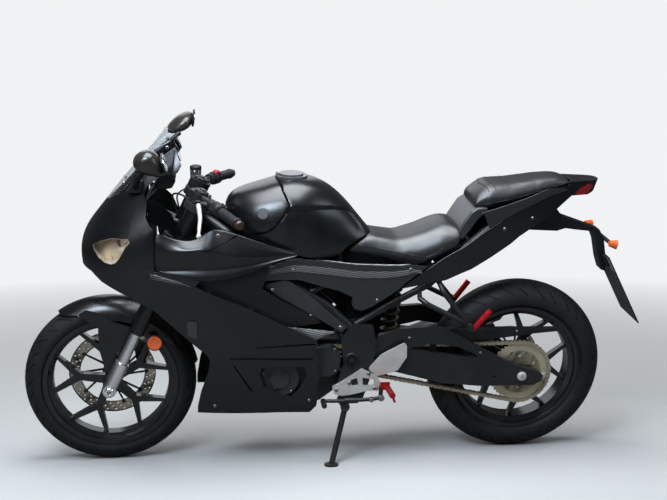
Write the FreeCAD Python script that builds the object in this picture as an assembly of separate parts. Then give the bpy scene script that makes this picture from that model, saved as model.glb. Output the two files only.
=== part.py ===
import FreeCAD, Part
import math
import os

# Sport motorcycle, parked on its side stand with the handlebar straight.
# It is modelled upright: X runs forward from the rear axle, Y to the rider's
# left and Z up from the ground, in millimetres. At the end every piece is
# leaned over to the left, as the bike rests on its stand.

# Wheels and stance
WHEELBASE = 1410.0
FRONT_TYRE_R = 290.0
FRONT_CROWN_R = 54.0
FRONT_RIM_HALF = 41.0
REAR_TYRE_R = 311.0
REAR_CROWN_R = 70.0
REAR_RIM_HALF = 54.0
TYRE_WALL = 9.0
CROWN_STEPS = 6
BEAD_SEAT_R = 218.0
RIM_WALL = 6.0
RIM_FLANGE = 9.0
RIM_WELL = 17.0
SPOKE_COUNT = 5
SPOKE_FORK_R = 114.0
SPOKE_SPREAD_DEG = 19.0
SPOKE_THICK = 24.0
FRONT_SPOKE_PHASE_DEG = 7.0
REAR_SPOKE_PHASE_DEG = 36.0
LEAN_DEG = 10.82

# Steering
RAKE_DEG = 25.0
STEER_GROUND_X = 1505.0
FORK_HALF_SPREAD = 95.0
FORK_TUBE_R = 26.5
FORK_SLIDER_R = 18.5
FORK_TUBE_BOTTOM_Z = 490.0
FORK_TOP_Z = 968.0
LOWER_YOKE_Z = 745.0
UPPER_YOKE_Z = 905.0
YOKE_THICK = 26.0
HEAD_TUBE_R = 30.0
HEAD_TUBE_LOW_Z = 763.0
HEAD_TUBE_HIGH_Z = 887.0
STEM_R = 18.0
STEM_BORE_R = 8.5
BAR_CLAMP_Z = 950.0
BAR_R = 11.0
GRIP_R = 16.5

# Chassis
PIVOT_X = 599.0
PIVOT_Z = 393.0
PIVOT_PLATE_Y = 134.0
PIVOT_PLATE_THICK = 8.0
PIVOT_SHAFT_R = 10.0
FRAME_TUBE_R = 17.0
RAIL_TUBE_R = 12.0
COWL_WALL = 4.0
SCREEN_WALL = 3.0

# Chain drive
CHAIN_PITCH = 15.875
REAR_TEETH = 43
FRONT_TEETH = 14
COUNTERSHAFT_X = 665.0
COUNTERSHAFT_Z = 385.0
CHAIN_Y = 86.0
CHAIN_WIDTH = 18.0
CHAIN_HEIGHT = 15.0

# Brakes
FRONT_DISC_R = 149.0
REAR_DISC_R = 110.0
DISC_THICK = 4.5

# Lean, and the side stand that the bike rests on
LEAN = math.radians(LEAN_DEG)
LIFT = REAR_CROWN_R * (1 - math.cos(LEAN))
STAND_FOOT_X = 670.0
STAND_FOOT_Y = 218.0
STAND_FOOT_Z = (STAND_FOOT_Y * math.sin(LEAN) - LIFT) / math.cos(LEAN)
STAND_PIVOT = (615.0, 126.0, 213.0)
STAND_FOOT = (STAND_FOOT_X, STAND_FOOT_Y, STAND_FOOT_Z)
STAND_R = 10.0
STAND_EYE_HALF = 12.0
STAND_GAP = 1.0

# Middle of the leaned bike on the ground, seen from the rear axle
ORIGIN_X = 639.5
ORIGIN_Y = 192.5


def vec(x, y, z):
    return FreeCAD.Vector(x, y, z)


def steer_x(z):
    """X of the steering axis at height z."""
    return STEER_GROUND_X - math.tan(math.radians(RAKE_DEG)) * z


AXLE_OFFSET_X = WHEELBASE - steer_x(FRONT_TYRE_R)


def fork_x(z):
    """X of the fork legs' centre line at height z."""
    return steer_x(z) + AXLE_OFFSET_X


def both(shape):
    """The shape and its mirror image on the bike's other side."""
    return Part.makeCompound(shape.Solids + mirrored(shape).Solids)


def mirrored(shape):
    return shape.mirror(vec(0, 0, 0), vec(0, 1, 0))


def block(x0, x1, y0, y1, z0, z1):
    return Part.makeBox(x1 - x0, y1 - y0, z1 - z0, vec(x0, y0, z0))


def rod(start, end, radius):
    a = vec(*start)
    b = vec(*end)
    return Part.makeCylinder(radius, (b - a).Length, a, b - a)


def cross_rod(x, z, y0, y1, radius):
    """Cylinder that runs across the bike."""
    return Part.makeCylinder(radius, y1 - y0, vec(x, y0, z), vec(0, 1, 0))


def fuse(shapes):
    result = shapes[0]
    if len(shapes) > 1:
        result = shapes[0].multiFuse(shapes[1:])
    return result.removeSplitter()


def corner_arc(before, corner, after, radius):
    """Start, middle and end of the arc that rounds a corner, or none."""
    back = before - corner
    ahead = after - corner
    half = back.getAngle(ahead) / 2
    if radius <= 0 or half > math.radians(88):
        return None
    reach = min(radius / math.tan(half), 0.45 * back.Length, 0.45 * ahead.Length)
    radius = reach * math.tan(half)
    back.normalize()
    ahead.normalize()
    middle = back + ahead
    middle.normalize()
    centre = corner + middle * (radius / math.sin(half))
    return corner + back * reach, centre - middle * radius, corner + ahead * reach


def rounded_path(points, radius, closed):
    """Wire of straight runs whose corners are rounded."""
    count = len(points)
    stops = []
    for index, corner in enumerate(points):
        arc = None
        if closed or 0 < index < count - 1:
            arc = corner_arc(points[index - 1], corner, points[(index + 1) % count], radius)
        stops.append(arc or (corner, None, corner))
    edges = []
    for index, (start, middle, end) in enumerate(stops):
        if middle is not None:
            edges.append(Part.Arc(start, middle, end).toShape())
        if index + 1 < count or closed:
            following = stops[(index + 1) % count][0]
            if (following - end).Length > 0.01:
                edges.append(Part.LineSegment(end, following).toShape())
    return Part.Wire(edges)


def plate(outline, y0, y1, corner=0.0):
    """Side-view outline given thickness across the bike."""
    points = [vec(x, y0, z) for x, z in outline]
    face = Part.Face(rounded_path(points, corner, True))
    return face.extrude(vec(0, y1 - y0, 0))


def tube(route, radius, bend):
    """Round bar along straight runs joined by arcs."""
    points = [vec(*point) for point in route]
    path = rounded_path(points, bend, False)
    profile = Part.Wire(Part.makeCircle(radius, points[0], points[1] - points[0]))
    return path.makePipeShell([profile], True, True)


def closed_section(points, closing):
    """Wire of a smooth open curve and the straight line that closes it."""
    curve = Part.BSplineCurve()
    curve.interpolate(points)
    edges = [curve.toShape()]
    if closing:
        edges.append(Part.LineSegment(points[-1], points[0]).toShape())
    return Part.Wire(edges)


def plan_loft(levels, inset=0.0):
    """Body from plan-view curves at rising heights.

    Each level holds a height and the half widths at falling X, from the
    nose on the centre line to the rear edge.
    """
    sections = []
    for height, half_widths in levels:
        left = []
        for index, (x, y) in enumerate(half_widths):
            x_in = inset if index == 0 else inset * 0.5
            if index == len(half_widths) - 1:
                x_in = -inset
            left.append((x - x_in, max(y - inset, 0.0) if index else 0.0))
        right = [(x, -y) for x, y in reversed(left[1:])]
        points = [vec(x, y, height) for x, y in right + left]
        sections.append(closed_section(points, True))
    return Part.makeLoft(sections, True, False)


def cross_loft(stations):
    """Body from cross sections at falling X.

    Each station holds X, half width, bottom and top height, and how full
    the shoulders are, from 0 to 1.
    """
    sections = []
    for x, half, low, top, full in stations:
        rise = top - low
        left = [
            (0.0, top),
            (0.5 * half, top - rise * 0.04 * (2 - full)),
            (0.86 * half, top - rise * 0.22 * (2 - full)),
            (half, low + rise * 0.42),
            (0.9 * half, low),
        ]
        right = [(-y, z) for y, z in reversed(left[1:])]
        points = [vec(x, y, z) for y, z in right + left]
        sections.append(closed_section(points, True))
    return Part.makeLoft(sections, True, False)


# Wheels


def wheel_profile(points_and_arcs, x, z):
    """Ring about a wheel's axle from a profile of (y, radius) edges."""
    edges = []
    for item in points_and_arcs:
        ends = [vec(x, y, z + r) for y, r in item]
        if len(ends) == 3:
            edges.append(Part.Arc(*ends).toShape())
        else:
            edges.append(Part.LineSegment(*ends).toShape())
    face = Part.Face(Part.Wire(edges))
    return face.revolve(vec(x, 0, z), vec(0, 1, 0), 360)


def crown_points(radius, crown, steps):
    """Left half of a tyre's crown, from the lean's ground contact outward."""
    middle = radius - crown
    points = []
    for index in range(steps):
        angle = LEAN + (math.pi / 2 - LEAN) * index / (steps - 1)
        points.append((crown * math.sin(angle), middle + crown * math.cos(angle)))
    return points


def tyre(x, z, radius, crown, rim_half):
    """Hollow tyre with a round crown, seated inside the rim's flanges.

    The crown is a run of narrow flats whose corners lie on its arc, and the
    first corner is where the leaning bike touches the ground.
    """
    bead = rim_half - RIM_WALL
    lip = bead - TYRE_WALL
    outer = [(0, radius)] + crown_points(radius, crown, CROWN_STEPS)
    outer += [(bead, BEAD_SEAT_R + RIM_FLANGE), (bead, BEAD_SEAT_R)]
    inner = [(lip, BEAD_SEAT_R)]
    inner += list(reversed(crown_points(radius - TYRE_WALL, crown - TYRE_WALL, 3)))
    left = outer + inner
    right = [(-y, r) for y, r in reversed(left[1:])]
    corners = left + right
    pairs = [(corners[i], corners[(i + 1) % len(corners)]) for i in range(len(corners))]
    return wheel_profile(pairs, x, z)


def rim_barrel(x, z, half):
    """Drop-centre rim with its two flanges."""
    seat = BEAD_SEAT_R
    well = seat - RIM_WELL
    bead = half - RIM_WALL
    ledge = bead - 1.6 * TYRE_WALL
    flange = seat + RIM_FLANGE
    corners = [
        (half, flange), (bead, flange), (bead, seat), (ledge, seat), (ledge - 6, well),
        (-ledge + 6, well), (-ledge, seat), (-bead, seat), (-bead, flange), (-half, flange),
        (-half, seat - RIM_WALL), (-ledge - 4, seat - RIM_WALL), (-ledge + 2, well - RIM_WALL),
        (ledge - 2, well - RIM_WALL), (ledge + 4, seat - RIM_WALL), (half, seat - RIM_WALL),
    ]
    pairs = [(corners[i], corners[(i + 1) % len(corners)]) for i in range(len(corners))]
    return wheel_profile(pairs, x, z)


def spoke(x, z, angle_deg, outer_r, hub_r):
    """One Y-shaped spoke: a stem and two arms that reach the rim."""
    half = SPOKE_THICK / 2

    def at(radius, degrees, side):
        angle = math.radians(degrees)
        along = vec(math.cos(angle), 0, math.sin(angle))
        across = vec(-math.sin(angle), 0, math.cos(angle))
        point = vec(x, -half, z) + along * radius + across * side
        return point

    def bar(start, end):
        a0, a1 = start
        b0, b1 = end
        wire = Part.makePolygon([a0, b0, b1, a1, a0])
        return Part.Face(wire).extrude(vec(0, SPOKE_THICK, 0))

    stem = bar((at(hub_r - 8, angle_deg, -16), at(hub_r - 8, angle_deg, 16)),
               (at(SPOKE_FORK_R, angle_deg, -11), at(SPOKE_FORK_R, angle_deg, 11)))
    arms = []
    for way in (-1, 1):
        tip_deg = angle_deg + way * SPOKE_SPREAD_DEG
        root = (at(SPOKE_FORK_R - 12, angle_deg, way * 11), at(SPOKE_FORK_R + 6, angle_deg, -way * 3))
        tip = (at(outer_r + 4, tip_deg, way * 6), at(outer_r + 4, tip_deg, -way * 6))
        arms.append(bar(root, tip))
    return [stem] + arms


def cast_wheel(x, z, rim_half, phase_deg, hub_half, hub_r, axle_r):
    well = BEAD_SEAT_R - RIM_WELL - RIM_WALL
    shapes = [rim_barrel(x, z, rim_half), cross_rod(x, z, -hub_half, hub_half, hub_r)]
    for index in range(SPOKE_COUNT):
        shapes += spoke(x, z, phase_deg + index * 360 / SPOKE_COUNT, well, hub_r)
    return fuse(shapes).cut(cross_rod(x, z, -hub_half - 1, hub_half + 1, axle_r))


def brake_disc(x, z, radius, y, hub_r):
    """Ring with an open carrier bolted to the hub."""
    y0 = y - DISC_THICK / 2
    y1 = y + DISC_THICK / 2
    ring = cross_rod(x, z, y0, y1, radius).cut(cross_rod(x, z, y0, y1, radius * 0.74))
    carrier = cross_rod(x, z, y0, y1, hub_r + 10).cut(cross_rod(x, z, y0, y1, hub_r - 8))
    shapes = [ring, carrier]
    for index in range(SPOKE_COUNT):
        angle = 360.0 * index / SPOKE_COUNT
        arm = block(x + hub_r, x + radius * 0.77, y0, y1, z - 7, z + 7)
        arm.rotate(vec(x, 0, z), vec(0, 1, 0), angle)
        shapes.append(arm)
    return fuse(shapes)


FRONT_HUB_HALF = 57.5
FRONT_HUB_R = 26.0
FRONT_AXLE_R = 9.0
REAR_HUB_HALF = 72.0
REAR_HUB_R = 34.0
REAR_AXLE_R = 10.0
RUNNING_GAP = 0.3


def front_tyre():
    return tyre(WHEELBASE, FRONT_TYRE_R, FRONT_TYRE_R, FRONT_CROWN_R, FRONT_RIM_HALF)


def rear_tyre():
    return tyre(0.0, REAR_TYRE_R, REAR_TYRE_R, REAR_CROWN_R, REAR_RIM_HALF)


def front_rim():
    return cast_wheel(WHEELBASE, FRONT_TYRE_R, FRONT_RIM_HALF, FRONT_SPOKE_PHASE_DEG,
                      FRONT_HUB_HALF, FRONT_HUB_R, FRONT_AXLE_R + RUNNING_GAP)


def rear_rim():
    rim = cast_wheel(0.0, REAR_TYRE_R, REAR_RIM_HALF, REAR_SPOKE_PHASE_DEG,
                     REAR_HUB_HALF, REAR_HUB_R, REAR_AXLE_R + RUNNING_GAP)
    drum = cross_rod(0.0, REAR_TYRE_R, SPOKE_THICK / 2, REAR_HUB_HALF, 62.0)
    drum = drum.cut(cross_rod(0.0, REAR_TYRE_R, 0, REAR_HUB_HALF + 1, REAR_AXLE_R + RUNNING_GAP))
    return fuse([rim, drum])


def front_disc():
    return brake_disc(WHEELBASE, FRONT_TYRE_R, FRONT_DISC_R, -FRONT_HUB_HALF - DISC_THICK / 2,
                      FRONT_HUB_R)


def rear_disc():
    return brake_disc(0.0, REAR_TYRE_R, REAR_DISC_R, -REAR_HUB_HALF - DISC_THICK / 2, REAR_HUB_R)


# Chain drive


def pitch_radius(teeth):
    return CHAIN_PITCH / (2 * math.sin(math.pi / teeth))


def sprocket_outline(teeth, x, z, y):
    """Toothed outline: each tooth is a blunt wedge between roller seats."""
    root = pitch_radius(teeth) - 5.2
    tip = pitch_radius(teeth) + 4.4
    step = 2 * math.pi / teeth
    points = []
    for index in range(teeth):
        for share, radius in ((-0.5, root), (-0.16, tip), (0.16, tip)):
            angle = step * (index + share)
            points.append(vec(x + radius * math.cos(angle), y, z + radius * math.sin(angle)))
    points.append(points[0])
    return Part.makePolygon(points)


SPROCKET_THICK = 6.0


def rear_sprocket():
    """Toothed ring with five slots, bolted on the hub's drum."""
    y0 = CHAIN_Y - SPROCKET_THICK / 2
    disc = Part.Face(sprocket_outline(REAR_TEETH, 0.0, REAR_TYRE_R, y0))
    disc = disc.extrude(vec(0, SPROCKET_THICK, 0))
    disc = disc.cut(cross_rod(0.0, REAR_TYRE_R, y0 - 1, y0 + SPROCKET_THICK + 1, 32.0))
    slot = cross_rod(78.0, REAR_TYRE_R, y0 - 1, y0 + SPROCKET_THICK + 1, 13.0)
    for index in range(SPOKE_COUNT):
        cutter = slot.copy()
        cutter.rotate(vec(0, 0, REAR_TYRE_R), vec(0, 1, 0), 360.0 * index / SPOKE_COUNT)
        disc = disc.cut(cutter)
    carrier = cross_rod(0.0, REAR_TYRE_R, REAR_HUB_HALF, y0, 56.0)
    carrier = carrier.cut(cross_rod(0.0, REAR_TYRE_R, REAR_HUB_HALF - 1, y0 + 1, 32.0))
    return fuse([disc, carrier])


def front_sprocket():
    y0 = CHAIN_Y - SPROCKET_THICK / 2
    disc = Part.Face(sprocket_outline(FRONT_TEETH, COUNTERSHAFT_X, COUNTERSHAFT_Z, y0))
    disc = disc.extrude(vec(0, SPROCKET_THICK, 0))
    return fuse([disc, cross_rod(COUNTERSHAFT_X, COUNTERSHAFT_Z, GEARBOX_HALF, y0 + 12, 13.0)])


GEARBOX_HALF = 66.0


def chain_run():
    """Tangent points of the chain's two straight runs, front then rear."""
    big = pitch_radius(REAR_TEETH)
    small = pitch_radius(FRONT_TEETH)
    dx = COUNTERSHAFT_X
    dz = COUNTERSHAFT_Z - REAR_TYRE_R
    length = math.hypot(dx, dz)
    slope = math.atan2(dz, dx)
    spread = math.acos((big - small) / length)
    return big, small, slope, spread


def chain_loop(grow):
    """Closed band outline about both sprockets, grown outward."""
    big, small, slope, spread = chain_run()
    y = CHAIN_Y - CHAIN_WIDTH / 2
    rear = vec(0, y, REAR_TYRE_R)
    front = vec(COUNTERSHAFT_X, y, COUNTERSHAFT_Z)

    def on(centre, radius, angle):
        return centre + vec(math.cos(angle), 0, math.sin(angle)) * (radius + grow)

    up = slope + spread
    down = slope - spread
    edges = [
        Part.LineSegment(on(rear, big, up), on(front, small, up)).toShape(),
        Part.Arc(on(front, small, up), on(front, small, slope), on(front, small, down)).toShape(),
        Part.LineSegment(on(front, small, down), on(rear, big, down)).toShape(),
        Part.Arc(on(rear, big, down), on(rear, big, slope + math.pi), on(rear, big, up)).toShape(),
    ]
    return Part.Face(Part.Wire(edges))


ROLLER_R = 5.0
SEATED_ROLLER_R = 5.6
RUN_ROLLERS = 6
FRONT_SEATS = (-1.5, 0.5, 1.5)


def chain_rollers():
    """A few pins that tie both rows of side plates, clear of the rear teeth."""
    big, small, slope, spread = chain_run()
    y0 = CHAIN_Y - CHAIN_WIDTH / 2
    shapes = []
    for way in (-1, 1):
        angle = slope + way * spread
        rear = vec(math.cos(angle) * big, 0, REAR_TYRE_R + math.sin(angle) * big)
        front = vec(COUNTERSHAFT_X + math.cos(angle) * small, 0, COUNTERSHAFT_Z + math.sin(angle) * small)
        for index in range(RUN_ROLLERS):
            share = (index + 1.5) / (RUN_ROLLERS + 1)
            at = rear + (front - rear) * share
            shapes.append(cross_rod(at.x, at.z, y0, y0 + CHAIN_WIDTH, ROLLER_R))
    step = 2 * math.pi / FRONT_TEETH
    for seat in FRONT_SEATS:
        x = COUNTERSHAFT_X + small * math.cos(seat * step)
        z = COUNTERSHAFT_Z + small * math.sin(seat * step)
        shapes.append(cross_rod(x, z, y0, y0 + CHAIN_WIDTH, SEATED_ROLLER_R))
    return shapes


def chain():
    """Drive chain as one fixed loop about both sprockets."""
    outer = chain_loop(CHAIN_HEIGHT / 2)
    inner = chain_loop(-CHAIN_HEIGHT / 2)
    band = outer.cut(inner).extrude(vec(0, CHAIN_WIDTH, 0))
    slot = chain_loop(CHAIN_HEIGHT).extrude(vec(0, SPROCKET_THICK + 1.6, 0))
    slot.translate(vec(0, (CHAIN_WIDTH - SPROCKET_THICK - 1.6) / 2, 0))
    return fuse([band.cut(slot)] + chain_rollers()).cut(front_sprocket())


# Fairing


FAIRING_LEVELS = [
    (180, 1330, 122, 1000, 116),
    (300, 1350, 172, 1010, 158),
    (415, 1400, 196, 1030, 178),
    (520, 1440, 206, 1050, 178),
    (640, 1475, 214, 1070, 172),
    (745, 1492, 221, 1090, 162),
    (800, 1486, 216, 1100, 152),
    (870, 1450, 202, 1115, 145),
    (935, 1399, 182, 1120, 135),
    (1010, 1338, 162, 1130, 120),
    (1090, 1268, 140, 1130, 105),
    (1175, 1203, 104, 1110, 90),
]
FAIRING_REAR_X = 650.0


def fairing_body(inset):
    levels = []
    for height, nose, half, widest_x, rear_half in FAIRING_LEVELS:
        curve = [
            (nose, 0.0),
            (nose - 14, 0.30 * half),
            (nose - 50, 0.56 * half),
            (nose - 120, 0.80 * half),
            (nose - 0.62 * (nose - widest_x), 0.92 * half),
            (widest_x, half),
            (0.5 * (widest_x + FAIRING_REAR_X), 0.55 * half + 0.45 * rear_half),
            (FAIRING_REAR_X, rear_half),
        ]
        levels.append((height, curve))
    return plan_loft(levels, inset)


NOSE_FRONT = 1520.0
HEADLAMP_OUTLINE = [(1446, 800), (1422, 818), (1384, 833), (1331, 836), (1324, 826),
                    (1340, 806), (1360, 771), (1373, 756), (1386, 751), (1405, 753),
                    (1426, 766), (1441, 786)]
SCREEN_LINE = [(1400, 930), (1370, 950), (1320, 998), (1258, 1055), (1177, 1112)]
NOSE_WING_EDGE = [(1157, 1068), (1170, 1046), (1212, 1028), (1244, 1012), (1268, 990),
                  (1282, 964), (1299, 934), (1311, 904), (1324, 866), (1331, 836)]
UPPER_COWL_TOP = [(1278, 972), (1270, 938), (1274, 902), (1259, 876)]
UPPER_COWL_LOW = [(1373, 733), (1293, 739), (1215, 728), (1104, 706), (1009, 707)]

# Each station of the creased band: X, the heights of shelf, crease, hollow
# and lower edge, and how deep each lies inside the plain fairing.
CREASE_STATIONS = [
    (1250, (871, 811, 741, 733), (0, 0, 0, 0)),
    (1215, (847, 798, 736, 726), (8, -2, 6, 0)),
    (1160, (831, 799, 741, 714), (18, -4, 14, 0)),
    (1124, (832, 803, 743, 708), (21, -5, 16, 0)),
    (1092, (848, 806, 744, 705), (24, -5, 16, 0)),
    (1066, (868, 801, 745, 705), (26, -5, 16, 0)),
    (1027, (863, 790, 747, 708), (26, -4, 15, 0)),
    (980, (848, 781, 750, 716), (22, -3, 13, 0)),
    (900, (817, 775, 757, 741), (12, -2, 8, 0)),
    (833, (793, 777, 769, 762), (5, -1, 3, 0)),
    (785, (779, 776, 773, 770), (0, 0, 0, 0)),
]
LOWER_COWL_FRONT = [(1455, 711), (1420, 684), (1383, 667), (1328, 641), (1250, 595),
                    (1187, 536), (1130, 482), (1085, 443), (1075, 421), (1079, 386),
                    (1093, 340), (1106, 298), (1117, 237)]


CHIN_EDGE = [(1373, 733), (1418, 722), (1455, 711)]


def nose_shell(fairing):
    region = CHIN_EDGE + [(NOSE_FRONT, 722), (NOSE_FRONT, 925)] + SCREEN_LINE
    region += NOSE_WING_EDGE + HEADLAMP_OUTLINE[4:8]
    cowl = fairing.common(plate(region, -300, 300))
    lamp = plate(HEADLAMP_OUTLINE, -300, 300, 4)
    return cowl.cut(lamp)


def largest(shape):
    """The shape's main solid, without the slivers of a trimmed edge."""
    return max(shape.Solids, key=lambda solid: solid.Volume)


CRUMB_VOLUME = 400.0


def without_crumbs(shape):
    """The shape's real pieces, without crumbs left along trimmed edges."""
    return Part.makeCompound([solid for solid in shape.Solids if solid.Volume > CRUMB_VOLUME])


def windscreen(screen):
    top = [(1157, 1068), (1160, 1100), (1181, 1132), (1215, 1172), (NOSE_FRONT, 1172), (NOSE_FRONT, 925)]
    region = SCREEN_LINE + top
    return largest(screen.common(plate(region, -300, 300)))


def headlamps(fairing_lamp):
    lamp = plate(HEADLAMP_OUTLINE, 12, 300, 4)
    return both(fairing_lamp.common(lamp))


def skin_y(body, x, z):
    """Half width of a body at a point of its side view."""
    ray = Part.makeLine(vec(x, 300, z), vec(x, 0, z))
    return body.common(ray).BoundBox.YMax


def crease_section(body, station):
    """Closed cowl section: shelf, crease, hollow and lower edge."""
    x, heights, depths = station
    outer = []
    for z, depth in zip(heights, depths):
        outer.append((skin_y(body, x, z) - depth, z))
    inner = [(y - COWL_WALL, z) for y, z in reversed(outer)]
    points = [vec(x, y, z) for y, z in outer + inner]
    return Part.makePolygon(points + points[:1])


def creased_band(body):
    sections = [crease_section(body, station) for station in CREASE_STATIONS]
    return Part.makeLoft(sections, True, True)


def upper_side_cowls(body, fairing):
    """Front wings that meet the nose, and the creased bands behind them."""
    front_x = CREASE_STATIONS[0][0]
    region = list(reversed(NOSE_WING_EDGE[5:])) + UPPER_COWL_TOP
    region += [(front_x, CREASE_STATIONS[0][1][0]), (front_x, CREASE_STATIONS[0][1][3])]
    region += list(reversed(UPPER_COWL_LOW[:2])) + list(reversed(HEADLAMP_OUTLINE[4:8]))
    wing = fairing.common(plate(region, 60, 300))
    return both(fuse([wing, creased_band(body)]))


def lower_cowl_region():
    rear = [(715, 227), (713, 270), (710, 343), (718, 386), (712, 414), (725, 443), (719, 464)]
    region = list(reversed(CHIN_EDGE)) + UPPER_COWL_LOW[1:4] + [(1121, 686), (1042, 647)]
    region += [(978, 619), (913, 583), (848, 547), (815, 532)]
    region += [(657, 508), (690, 495), (723, 485)] + list(reversed(rear))
    region += [(738, 198), (841, 205), (976, 208), (1117, 212)]
    region += list(reversed(LOWER_COWL_FRONT[1:]))
    return region


SCOOP_DEPTH = 22.0
SCOOP_EDGE = [(1130, 688), (1110, 716), (1009, 717), (968, 727), (905, 748), (880, 735), (903, 664),
              (843, 621), (777, 581), (718, 546), (706, 532), (815, 522), (848, 537), (978, 609),
              (1042, 637)]
SCOOP_BOSSES = [(1075, 655), (940, 592), (1060, 712)]


def scoops(outer_wall, inner_wall, cowl_room):
    """Dark panels set in behind the gap between upper and lower cowls."""
    panel = outer_wall.cut(inner_wall).common(plate(SCOOP_EDGE, 60, 300))
    bosses = []
    for x, z in SCOOP_BOSSES:
        bosses.append(cross_rod(x, z, 60, 300, 6).common(cowl_room).cut(inner_wall))
    return both(fuse([panel] + bosses))


def cockpit_shelves(body):
    """Ledges that close the gap between cowl edge and steering."""
    sections = []
    for x, heights, depths in CREASE_STATIONS[1:9]:
        z = heights[0]
        edge = skin_y(body, x, z) - depths[0] - COWL_WALL
        section = [(edge, z - 1), (edge, z - 6), (SHELF_INNER_Y, z - 26), (SHELF_INNER_Y, z - 22)]
        points = [vec(x, y, height) for y, height in section]
        sections.append(Part.makePolygon(points + points[:1]))
    return both(Part.makeLoft(sections, True, True))


SHELF_INNER_Y = 150.0

COWL_WINDOW = [(904, 391), (761, 387), (754, 351), (777, 301), (804, 273), (827, 274),
               (871, 301), (898, 320), (911, 367)]


BELLY_SLIT = [(1000, 404), (994, 402), (946, 322), (932, 298), (938, 298), (952, 320)]
BELLY_SLOT = [(926, 467), (800, 470), (726, 470), (726, 464), (800, 463), (926, 464)]


def lower_side_cowls(fairing):
    cowl = fairing.common(plate(lower_cowl_region(), 60, 300))
    cowl = cowl.cut(plate(COWL_WINDOW, 60, 300, 8))
    cowl = cowl.cut(plate(BELLY_SLIT, 60, 300))
    return both(cowl.cut(plate(BELLY_SLOT, 60, 300)))


# Tank and seats


TANK_STATIONS = [
    (1016, 42, 862, 905, 0.6),
    (985, 92, 838, 948, 0.7),
    (930, 136, 800, 968, 0.8),
    (860, 156, 760, 988, 0.9),
    (790, 160, 740, 1001, 0.9),
    (720, 150, 730, 990, 0.8),
    (650, 126, 728, 950, 0.7),
    (585, 104, 730, 882, 0.6),
    (520, 84, 734, 806, 0.5),
]
TANK_OUTLINE = [(1040, 860), (974, 838), (925, 818), (877, 800), (811, 775), (769, 758),
                (713, 746), (635, 754), (632, 767), (609, 784), (576, 798), (543, 812),
                (500, 812), (500, 1040), (1040, 1040)]
CAP_X = 797.0
CAP_RING_R = 54.0
CAP_RING_THICK = 10.0
CAP_Z = 1003.0
NECK_R = 24.0
NECK_DEPTH = 60.0
LID_R = 43.0
LID_THICK = 6.0
LID_GAP = 0.3
LID_PIN_R = 2.0
LID_HINGE_X = CAP_X + LID_R + 4
LID_HINGE_Z = CAP_Z + 4.5
LID_HINGE_HALF = 8.0


TANK_COVER_EDGE = [(974, 838), (942, 831), (893, 844), (861, 864), (829, 903), (813, 930),
                   (832, 970), (852, 1040), (1040, 1040), (1040, 860)]


def tank_body():
    return cross_loft(TANK_STATIONS).common(plate(TANK_OUTLINE, -200, 200))


def tank_cover(body):
    """Moulded front cover that hugs the pressed tank."""
    return body.common(plate(TANK_COVER_EDGE, -200, 200)).cut(cap_seat())


def cap_seat():
    return Part.makeCylinder(CAP_RING_R, 60, vec(CAP_X, 0, CAP_Z - CAP_RING_THICK))


def fuel_tank(body):
    tank = body.cut(plate(TANK_COVER_EDGE, -200, 200))
    neck = Part.makeCylinder(NECK_R, NECK_DEPTH, vec(CAP_X, 0, CAP_Z - NECK_DEPTH))
    return tank.cut(cap_seat()).cut(neck)


def cap_ring():
    """Filler ring let into the tank, with the lid's hinge ears and pin."""
    ring = Part.makeCylinder(CAP_RING_R, CAP_RING_THICK, vec(CAP_X, 0, CAP_Z - CAP_RING_THICK))
    ring = ring.cut(Part.makeCylinder(NECK_R, 60, vec(CAP_X, 0, CAP_Z - 30)))
    ears = []
    for y0 in (LID_HINGE_HALF + 0.5, -LID_HINGE_HALF - 5.5):
        ear = block(LID_HINGE_X - 3.5, LID_HINGE_X + 3.5, y0, y0 + 5, CAP_Z - 1, LID_HINGE_Z)
        ears += [ear, cross_rod(LID_HINGE_X, LID_HINGE_Z, y0, y0 + 5, 3.5)]
    reach = LID_HINGE_HALF + 5
    pin = cross_rod(LID_HINGE_X, LID_HINGE_Z, -reach, reach, LID_PIN_R)
    return fuse([ring, pin] + ears)


def fuel_cap():
    """Round lid that tips forward on its hinge."""
    disc = Part.makeCylinder(LID_R - 3, LID_THICK, vec(CAP_X, 0, CAP_Z + LID_GAP))
    knuckle = cross_rod(LID_HINGE_X, LID_HINGE_Z, -LID_HINGE_HALF, LID_HINGE_HALF, 3.5)
    tongue = block(CAP_X + LID_R - 8, LID_HINGE_X, -LID_HINGE_HALF, LID_HINGE_HALF,
                   LID_HINGE_Z - 2, LID_HINGE_Z + 1.5)
    pin = cross_rod(LID_HINGE_X, LID_HINGE_Z, -20, 20, LID_PIN_R + 0.2)
    return fuse([disc, tongue, knuckle]).cut(pin)


RIDER_SEAT_STATIONS = [
    (618, 88, 746, 796, 0.8),
    (560, 100, 738, 812, 0.8),
    (500, 112, 734, 799, 0.9),
    (440, 126, 722, 789, 0.9),
    (370, 138, 714, 809, 0.9),
    (300, 138, 745, 838, 0.9),
    (236, 130, 785, 854, 0.9),
]
PILLION_STATIONS = [
    (196, 96, 902, 930, 0.8),
    (140, 108, 903, 972, 0.8),
    (60, 106, 918, 976, 0.8),
    (-40, 90, 945, 990, 0.8),
    (-110, 76, 960, 995, 0.8),
    (-152, 60, 966, 986, 0.8),
]


def seat_loft(stations):
    """Cushion of flat panels between cross sections at falling X."""
    sections = []
    for x, half, low, top, full in stations:
        rise = top - low
        left = [(0.0, top), (0.5 * half, top - rise * 0.03 * (2 - full)),
                (0.84 * half, top - rise * 0.16 * (2 - full)), (half, low + rise * 0.5),
                (0.95 * half, low)]
        points = [vec(x, y, z) for y, z in left] + [vec(x, -y, z) for y, z in reversed(left[1:])]
        sections.append(Part.makePolygon(points + points[:1]))
    return Part.makeLoft(sections, True, True)


def rider_seat():
    return seat_loft(RIDER_SEAT_STATIONS).cut(plate(TANK_OUTLINE, -200, 200))


def pillion_seat():
    return seat_loft(PILLION_STATIONS)


# Tail


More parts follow.
